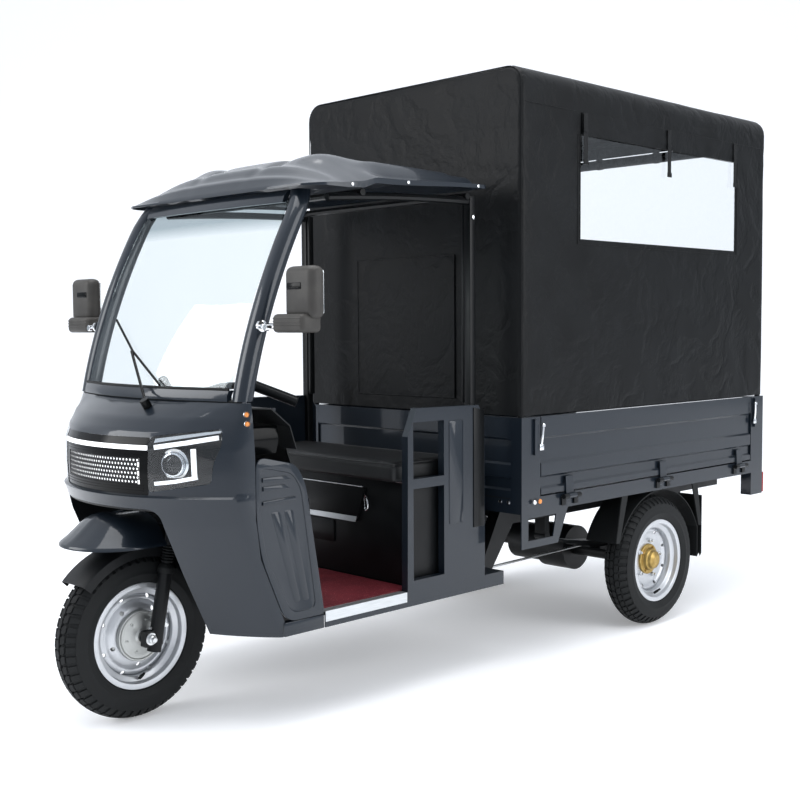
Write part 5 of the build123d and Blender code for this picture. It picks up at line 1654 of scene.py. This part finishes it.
dust = add_node(tree, "ShaderNodeTexNoise", {"Vector": place, "Scale": 5.0, "Detail": 8.0})
tone = add_node(tree, "ShaderNodeValToRGB", {"Fac": dust}, tones=("#050607", "#0f1113"))
tone.color_ramp.elements[0].position = 0.3
tone.color_ramp.elements[1].position = 0.75
wear = add_node(tree, "ShaderNodeMapRange", {"Value": dust, "To Min": 0.36, "To Max": 0.56})
close_material(tree, {
    "Base Color": tone, "Roughness": wear, "Normal": creased,
    "Specular IOR Level": 0.16,
})

canvas_wall = 0.0012
canopy_half = 0.5675
canopy_low = 0.906
canopy_high = 2.1315
canopy_front = -0.1245
canopy_rear = 1.5885
canopy_round = 0.07
edge_round = 0.02
window_y = (0.215, 1.322)
window_z = (1.54, 1.92)
# Round each window the sheet is held taut by the welded film.
weld_y = (0.2, 1.34)
weld_z = (1.53, 1.93)
seam_z = 2.001
opening_half = 0.47
opening_z = 2.05


def marks(low, high, count, kept):
    """Even stations from low to high, with the nearest ones moved onto kept values."""
    values = [low + (high - low) * step / count for step in range(count + 1)]
    for value in kept:
        nearest = min(range(1, count), key=lambda k: abs(values[k] - value))
        values[nearest] = value
    return values


side_height = canopy_high - canopy_round - canopy_low
face_height = canopy_high - edge_round - canopy_low
shares = marks(0.0, 1.0, 54, [
    (window_z[0] - canopy_low) / side_height, (window_z[1] - canopy_low) / side_height,
    (seam_z - canopy_low) / side_height, (opening_z - canopy_low) / face_height,
])
flat_half = canopy_half - canopy_round
across = [x / flat_half for x in marks(-flat_half, flat_half, 42, [-opening_half, opening_half])]
arc_steps = 6


def hoop(inset):
    """Canopy section drawn in by an inset: left side up, over the roof, right side down."""
    radius = canopy_round - inset
    half = canopy_half - inset
    points = [(-half, canopy_low + side_height * share) for share in shares]
    for step in range(1, arc_steps):
        turn = math.pi / 2 * step / arc_steps
        points.append(
            (-flat_half - radius * math.cos(turn), canopy_high - canopy_round + radius * math.sin(turn)),
        )
    points += [(flat_half * share, canopy_high - inset) for share in across]
    for step in range(arc_steps - 1, 0, -1):
        turn = math.pi / 2 * step / arc_steps
        points.append(
            (flat_half + radius * math.cos(turn), canopy_high - canopy_round + radius * math.sin(turn)),
        )
    points += [(half, canopy_low + side_height * share) for share in reversed(shares)]
    return points


def end_wall(y):
    """Rows of an end wall that meet the hoop drawn in by the corner round."""
    run = hoop(edge_round)
    tops = run[len(shares) - 1:len(run) - len(shares) + 1]
    rows = []
    for share in shares:
        rows.append([Vector((x, y, canopy_low + (top - canopy_low) * share)) for x, top in tops])
    return rows


def slack(point):
    """How far the sheet stands off its taut shape: sag, soft billows and drawn folds."""
    x, y, z = point
    billow = noise.noise(Vector((x * 2.1, y * 2.1 + 3.0, z * 1.7)))
    drawn = noise.noise(Vector((x * 3.0 + z * 1.5, y * 7.5 + z * 4.0, z * 1.6 - y * 1.2)))
    hang = noise.noise(Vector((x * 9.0, y * 9.0, z * 0.9 + 7.0)))
    lower = max(0.0, 1.0 - (z - canopy_low) / 0.45)
    upper = max(0.0, (z - 1.75) / 0.25) if z < seam_z else 0.0
    return 0.003 * billow + 0.003 * abs(drawn) * (0.4 + upper) + 0.005 * hang * lower


stations = [(canopy_front + edge_round * (1 - math.cos(math.pi / 2 * s / 4)),
             edge_round * (1 - math.sin(math.pi / 2 * s / 4))) for s in range(5)]
middle = marks(canopy_front + edge_round, canopy_rear - edge_round, 76, window_y)
stations += [(y, 0.0) for y in middle[1:-1]]
stations += [(canopy_rear - edge_round * (1 - math.cos(math.pi / 2 * s / 4)),
              edge_round * (1 - math.sin(math.pi / 2 * s / 4))) for s in range(4, -1, -1)]

vertices = []
faces = []
for y, inset in stations:
    vertices += [Vector((x, y, z)) for x, z in hoop(inset)]
width = len(hoop(0.0))
for quad in sheet_faces(len(stations), width):
    low = [min(vertices[k][axis] for k in quad) for axis in range(3)]
    high = [max(vertices[k][axis] for k in quad) for axis in range(3)]
    beside = low[1] > window_y[0] - 0.001 and high[1] < window_y[1] + 0.001
    if not (beside and low[2] > window_z[0] - 0.001 and high[2] < window_z[1] + 0.001):
        faces.append(quad)
for y, flip in ((canopy_front, True), (canopy_rear, False)):
    rows = end_wall(y)
    start = len(vertices)
    vertices += [p for row in rows for p in row]
    for quad in sheet_faces(len(rows), len(rows[0]), start, flip):
        inside = max(abs(vertices[k].x) for k in quad) < opening_half + 0.001
        if flip or not (inside and max(vertices[k].z for k in quad) < opening_z + 0.001):
            faces.append(quad)
canopy = mesh_piece("canopy_sheet", vertices, faces, canvas, 60.0)
work = bmesh.new()
work.from_mesh(canopy.data)
bmesh.ops.remove_doubles(work, verts=work.verts, dist=0.0006)
bmesh.ops.recalc_face_normals(work, faces=work.faces)
work.normal_update()
taut = [(vert, vert.normal.copy(), slack(vert.co)) for vert in work.verts]
cut_area = sum(face.calc_area() for face in work.faces)
for vert, out, amount in taut:
    lip = 0.0012 if abs(vert.co.x) > flat_half and vert.co.z > seam_z - 0.001 else 0.0
    weld = weld_z[0] < vert.co.z < weld_z[1] and weld_y[0] < vert.co.y < weld_y[1]
    on_window = abs(vert.co.x) > canopy_half - 0.001 and weld
    vert.co += out * ((0.0 if on_window else -abs(amount)) + lip)
work.to_mesh(canopy.data)
work.free()
thickened(canopy, canvas_wall, 60.0)
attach(canopy, "frame")
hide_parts("canopy_cover")

# Piping and hems: a welded bead along the front corners and the roof seam, and a stitched
# hem round each window.
beads = []
for side in (1, -1):
    x = side * (canopy_half - 0.0045)
    y = canopy_front + 0.0045
    beads.append(pipe([(x, y, canopy_low + 0.004), (x, y, canopy_high - canopy_round)], 0.0022, False))
    x = side * (canopy_half + 0.0002)
    beads.append(pipe([(x, canopy_front + 0.022, seam_z), (x, canopy_rear - 0.022, seam_z)], 0.0016, False))
arch = [(x, canopy_front + 0.0045, z) for x, z in hoop(0.0045)[len(shares) - 1:width - len(shares) + 1]]
beads.append(pipe(arch, 0.0022, False))
piping = joined("canopy_piping", beads, canvas)
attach(piping, "frame")
hems = []
for side in (1, -1):
    for ring in range(2):
        grow = 0.004 + 0.014 * ring
        corners = oblong(window_y[0] - grow, window_y[1] + grow, window_z[0] - grow, window_z[1] - 0.002)
        run = [(side * (canopy_half + 0.0003), y, z) for y, z in corners]
        hems.append(pipe(run + run[:1], 0.0014, False))
hem_piece = joined("window_hems", hems, canvas)
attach(hem_piece, "frame")

# Side windows: clear PVC film, slightly rippled, cut a little larger than each opening
# and welded behind the hems.
clear_film, tree = new_material("clear_pvc_film")
place = add_node(tree, "ShaderNodeTexCoord").outputs["Object"]
ripple = add_node(tree, "ShaderNodeTexNoise", {"Vector": place, "Scale": 9.0, "Detail": 3.0})
ripples = add_node(tree, "ShaderNodeBump", {"Height": ripple, "Strength": 0.35, "Distance": 0.01})
haze = add_node(tree, "ShaderNodeTexNoise", {"Vector": place, "Scale": 60.0, "Detail": 6.0})
veil = add_node(tree, "ShaderNodeMapRange", {"Value": haze, "To Min": 0.06, "To Max": 0.16})
gloss = add_node(
    tree, "ShaderNodeBsdfGlossy", {"Color": linear("#f4f7f9"), "Roughness": 0.08, "Normal": ripples},
)
through = add_node(tree, "ShaderNodeBsdfTransparent", {"Color": linear("#f2f5f6")})
film = add_node(tree, "ShaderNodeMixShader", {0: veil, 1: through, 2: gloss})
add_node(tree, "ShaderNodeOutputMaterial", {"Surface": film})
for side, word in ((1, "left"), (-1, "right")):
    vertices = []
    for r in range(13):
        for c in range(37):
            y = window_y[0] - 0.006 + (window_y[1] - window_y[0] + 0.012) * c / 36
            z = window_z[0] - 0.006 + (window_z[1] - window_z[0] + 0.012) * r / 12
            wave = 0.0012 * noise.noise(Vector((side, y * 6.0, z * 4.0)))
            vertices.append(Vector((side * (canopy_half - 0.0028 + wave), y, z)))
    pane = mesh_piece(f"window_film_{word}", vertices, sheet_faces(13, 37), clear_film)
    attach(pane, "frame")


# Window valances: a rolled-up cover strip sewn above each side window and hanging in slack
# waves, tied by three webbing straps with moulded toggles.
webbing, tree = new_material("black_polyester_webbing")
place = add_node(tree, "ShaderNodeTexCoord").outputs["Object"]
weave = add_node(
    tree, "ShaderNodeTexWave", {"Vector": place, "Scale": 220.0, "Distortion": 1.0}, bands_direction="Z",
)
rib = add_node(tree, "ShaderNodeBump", {"Height": weave.outputs["Fac"], "Strength": 0.5, "Distance": 0.0008})
tone = add_node(tree, "ShaderNodeValToRGB", {"Fac": weave.outputs["Fac"]}, tones=("#08090a", "#1b1d1f"))
close_material(tree, {"Base Color": tone, "Roughness": 0.7, "Normal": rib})


def waved_sheet(name, rows, columns, place_at):
    """A canvas piece whose points are given by a function of two shares."""
    vertices = [
        Vector(place_at(c / (columns - 1), r / (rows - 1))) for r in range(rows) for c in range(columns)
    ]
    made = mesh_piece(name, vertices, sheet_faces(rows, columns), canvas, 60.0)
    thickened(made, canvas_wall, 60.0, offset=0.0)
    return made


valance_z = (1.9195, 1.9995)
strap_y = (0.232, 0.79, 1.305)


def hanging(side, along, up):
    """One point of a valance: pinned along its top, in waves at its foot."""
    y = window_y[0] + 0.002 + (window_y[1] - window_y[0] - 0.004) * along
    wave = noise.noise(Vector((y * 13.0, up * 1.5, side * 4.0))) * (1.2 - up)
    return side * (0.5722 + 0.0026 * wave), y, valance_z[0] + (valance_z[1] - valance_z[0]) * up


for side, word in ((1, "left"), (-1, "right")):
    valance = waved_sheet(f"window_valance_{word}", 9, 100, lambda along, up: hanging(side, along, up))
    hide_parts("window_flaps")
    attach(valance, "frame")
    straps = []
    for y in strap_y:
        x = across_x(side, 0.5768, 0.5784)
        straps.append(soft_box((x[0], y - 0.0125, 1.822), (x[1], y + 0.0125, 1.998), 0.0006, 1))
        x = across_x(side, 0.5765, 0.581)
        straps.append(soft_box((x[0], y - 0.0145, 1.812), (x[1], y + 0.0145, 1.83), 0.0015))
        straps.append(soft_box((x[0], y - 0.014, 1.93), (x[1], y + 0.014, 1.942), 0.0015))
    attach(joined(f"window_straps_{word}", straps, webbing), "frame")

# Front patch: a second layer of canvas laid over the canopy's front wall, sewn round its
# edges under a thin bead.
patch_x = (-0.268, 0.252)
patch_z = (0.958, 1.484)


def laid(across_share, up):
    """One point of the front patch, slack at its lower corner."""
    x = patch_x[0] + (patch_x[1] - patch_x[0]) * across_share
    z = patch_z[0] + (patch_z[1] - patch_z[0]) * up
    slackness = max(0.0, 1.0 - math.hypot(across_share, up) / 0.45)
    wave = noise.noise(Vector((x * 22.0, z * 22.0, 1.0)))
    return x, canopy_front - 0.0028 - 0.0016 * abs(wave) * (0.3 + slackness), z


patch = waved_sheet("front_patch", 40, 40, laid)
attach(patch, "frame")
border = oblong(patch_x[0], patch_x[1], patch_z[0], patch_z[1])
patch_bead = joined("front_patch_bead", [
    pipe([(x, canopy_front - 0.003, z) for x, z in [*border, border[0]]], 0.0026, False),
], canvas)
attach(patch_bead, "frame")

# Rear curtain: the canvas door sheet, rolled up above the rear opening and held there by
# three webbing straps.
roll_centre = (1.587, 2.0237)
turns = 3.0
steps = 96
spiral = []
for step in range(steps + 1):
    angle = 2 * math.pi * turns * step / steps
    radius = 0.0105 + 0.014 * step / steps
    spiral.append((roll_centre[0] + radius * math.cos(angle), roll_centre[1] + radius * math.sin(angle)))


def rolled(across_share, along):
    """One point of the rolled curtain."""
    y, z = spiral[round(along * steps)]
    return -0.468 + 0.936 * across_share, y, z


curtain = waved_sheet("rear_curtain_roll", steps + 1, 30, rolled)
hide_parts("rear_curtain")
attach(curtain, "frame")
loops = []
for x in (-0.33, 0.0, 0.33):
    ring = [(-0.0125, 0.0252), (-0.0125, 0.0264), (0.0125, 0.0264), (0.0125, 0.0252), (-0.0125, 0.0252)]
    loops.append(facing(ring, Vector((x, *roll_centre)), Vector((1, 0, 0)), 32))
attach(joined("rear_curtain_straps", loops, webbing), "frame")
repaint("canopy_frame", black_paint)


# Cargo bed: pressed steel boards and posts in the body colour with eased edges, a black
# floor, chromed toggle latches at the corners, and small round bolts and reflectors.
for name, width in (
    ("bed_frame", 0.0025), ("side_board_left", 0.0018), ("side_board_right", 0.0018),
    ("tailgate", 0.0018),
):
    repaint(name, body_paint)
    eased(nodes[name], width)
repaint("bed_headboard", body_paint)
repaint("bed_floor", black_paint)
bolts = []
lenses = []
whites = []
latches = []
for side in (1, -1):
    out = Vector((side, 0, 0))
    for x in (0.473, 0.511):
        bolts.append(stud((side * x, -0.1272, 0.596), Vector((0, -1, 0)), 0.0075, 0.0045, 16, 0.4))
    dome = rounded([(0.0, 0.0), (0.0, 0.0095), (0.0045, 0.008), (0.0065, 0.0)], 0.002)
    whites.append(facing(dome, Vector((side * 0.5792, -0.066, 0.597)), out, 24))
    lenses.append(facing(dome, Vector((side * 0.5792, -0.036, 0.597)), out, 24))
    for y, lean in ((-0.03, 1), (1.496, -1)):
        foot = Vector((side * 0.5805, y, 0.792))
        latches.append(pipe([
            foot, foot + Vector((side * 0.006, 0, 0.03)),
            foot + Vector((side * 0.007, lean * 0.004, 0.075)),
        ], 0.0042))
        x = across_x(side, 0.5795, 0.585)
        latches.append(soft_box((x[0], y - 0.011, 0.78), (x[1], y + 0.011, 0.802), 0.0015))
        latches.append(stud(
            foot + Vector((side * 0.007, lean * 0.004, 0.073)), Vector((0, 0, 1)), 0.0075, 0.012, 16,
            0.3,
        ))
for name, parts, material in (
    ("bed_bolts", bolts, chrome), ("bed_marker_whites", whites, chrome), ("bed_marker_ambers", lenses, amber),
    ("bed_latches", latches, chrome),
):
    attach(joined(name, parts, material), "frame")
repaint("bed_hinges", black_paint)
repaint("tail_hinges", black_paint)

# Running gear: black painted frame, springs and axle with a film of road dust, a zinc brake
# rod, and rubber mudguards with a saw-toothed flap behind each rear wheel.
for name in ("chassis_frame", "leaf_springs", "rear_axle"):
    repaint(name, black_paint)
repaint("brake_rod", zinc)
repaint("mudguards", rubber)
teeth = []
for side in (1, -1):
    edge = []
    for tooth in range(9):
        x = 0.452 + 0.0127 * tooth
        edge += [(side * x, 0.252), (side * (x + 0.0063), 0.238)]
    edge.append((side * 0.5663, 0.252))
    outline = [*edge, (side * 0.5663, 0.5), (side * 0.452, 0.5)]
    teeth.append(prism(outline if side > 0 else outline[::-1], "Y", 1.0792, 1.0822))
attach(joined("mudguard_flaps", teeth, rubber), "frame")

# Tail lamps: ribbed red acrylic lenses in black trays, screwed on at the rear corners of
# the bed.
red, tree = new_material("red_lens_acrylic")
place = add_node(tree, "ShaderNodeTexCoord").outputs["Object"]
ribs = add_node(tree, "ShaderNodeTexWave", {"Vector": place, "Scale": 60.0}, bands_direction="Z")
fluted = add_node(
    tree, "ShaderNodeBump", {"Height": ribs.outputs["Fac"], "Strength": 0.5, "Distance": 0.0012},
)
depth = add_node(tree, "ShaderNodeValToRGB", {"Fac": ribs.outputs["Fac"]}, tones=("#5e0b0d", "#a3181a"))
close_material(tree, {"Base Color": depth, "Roughness": 0.14, "Normal": fluted})
repaint("tail_lamps", red)
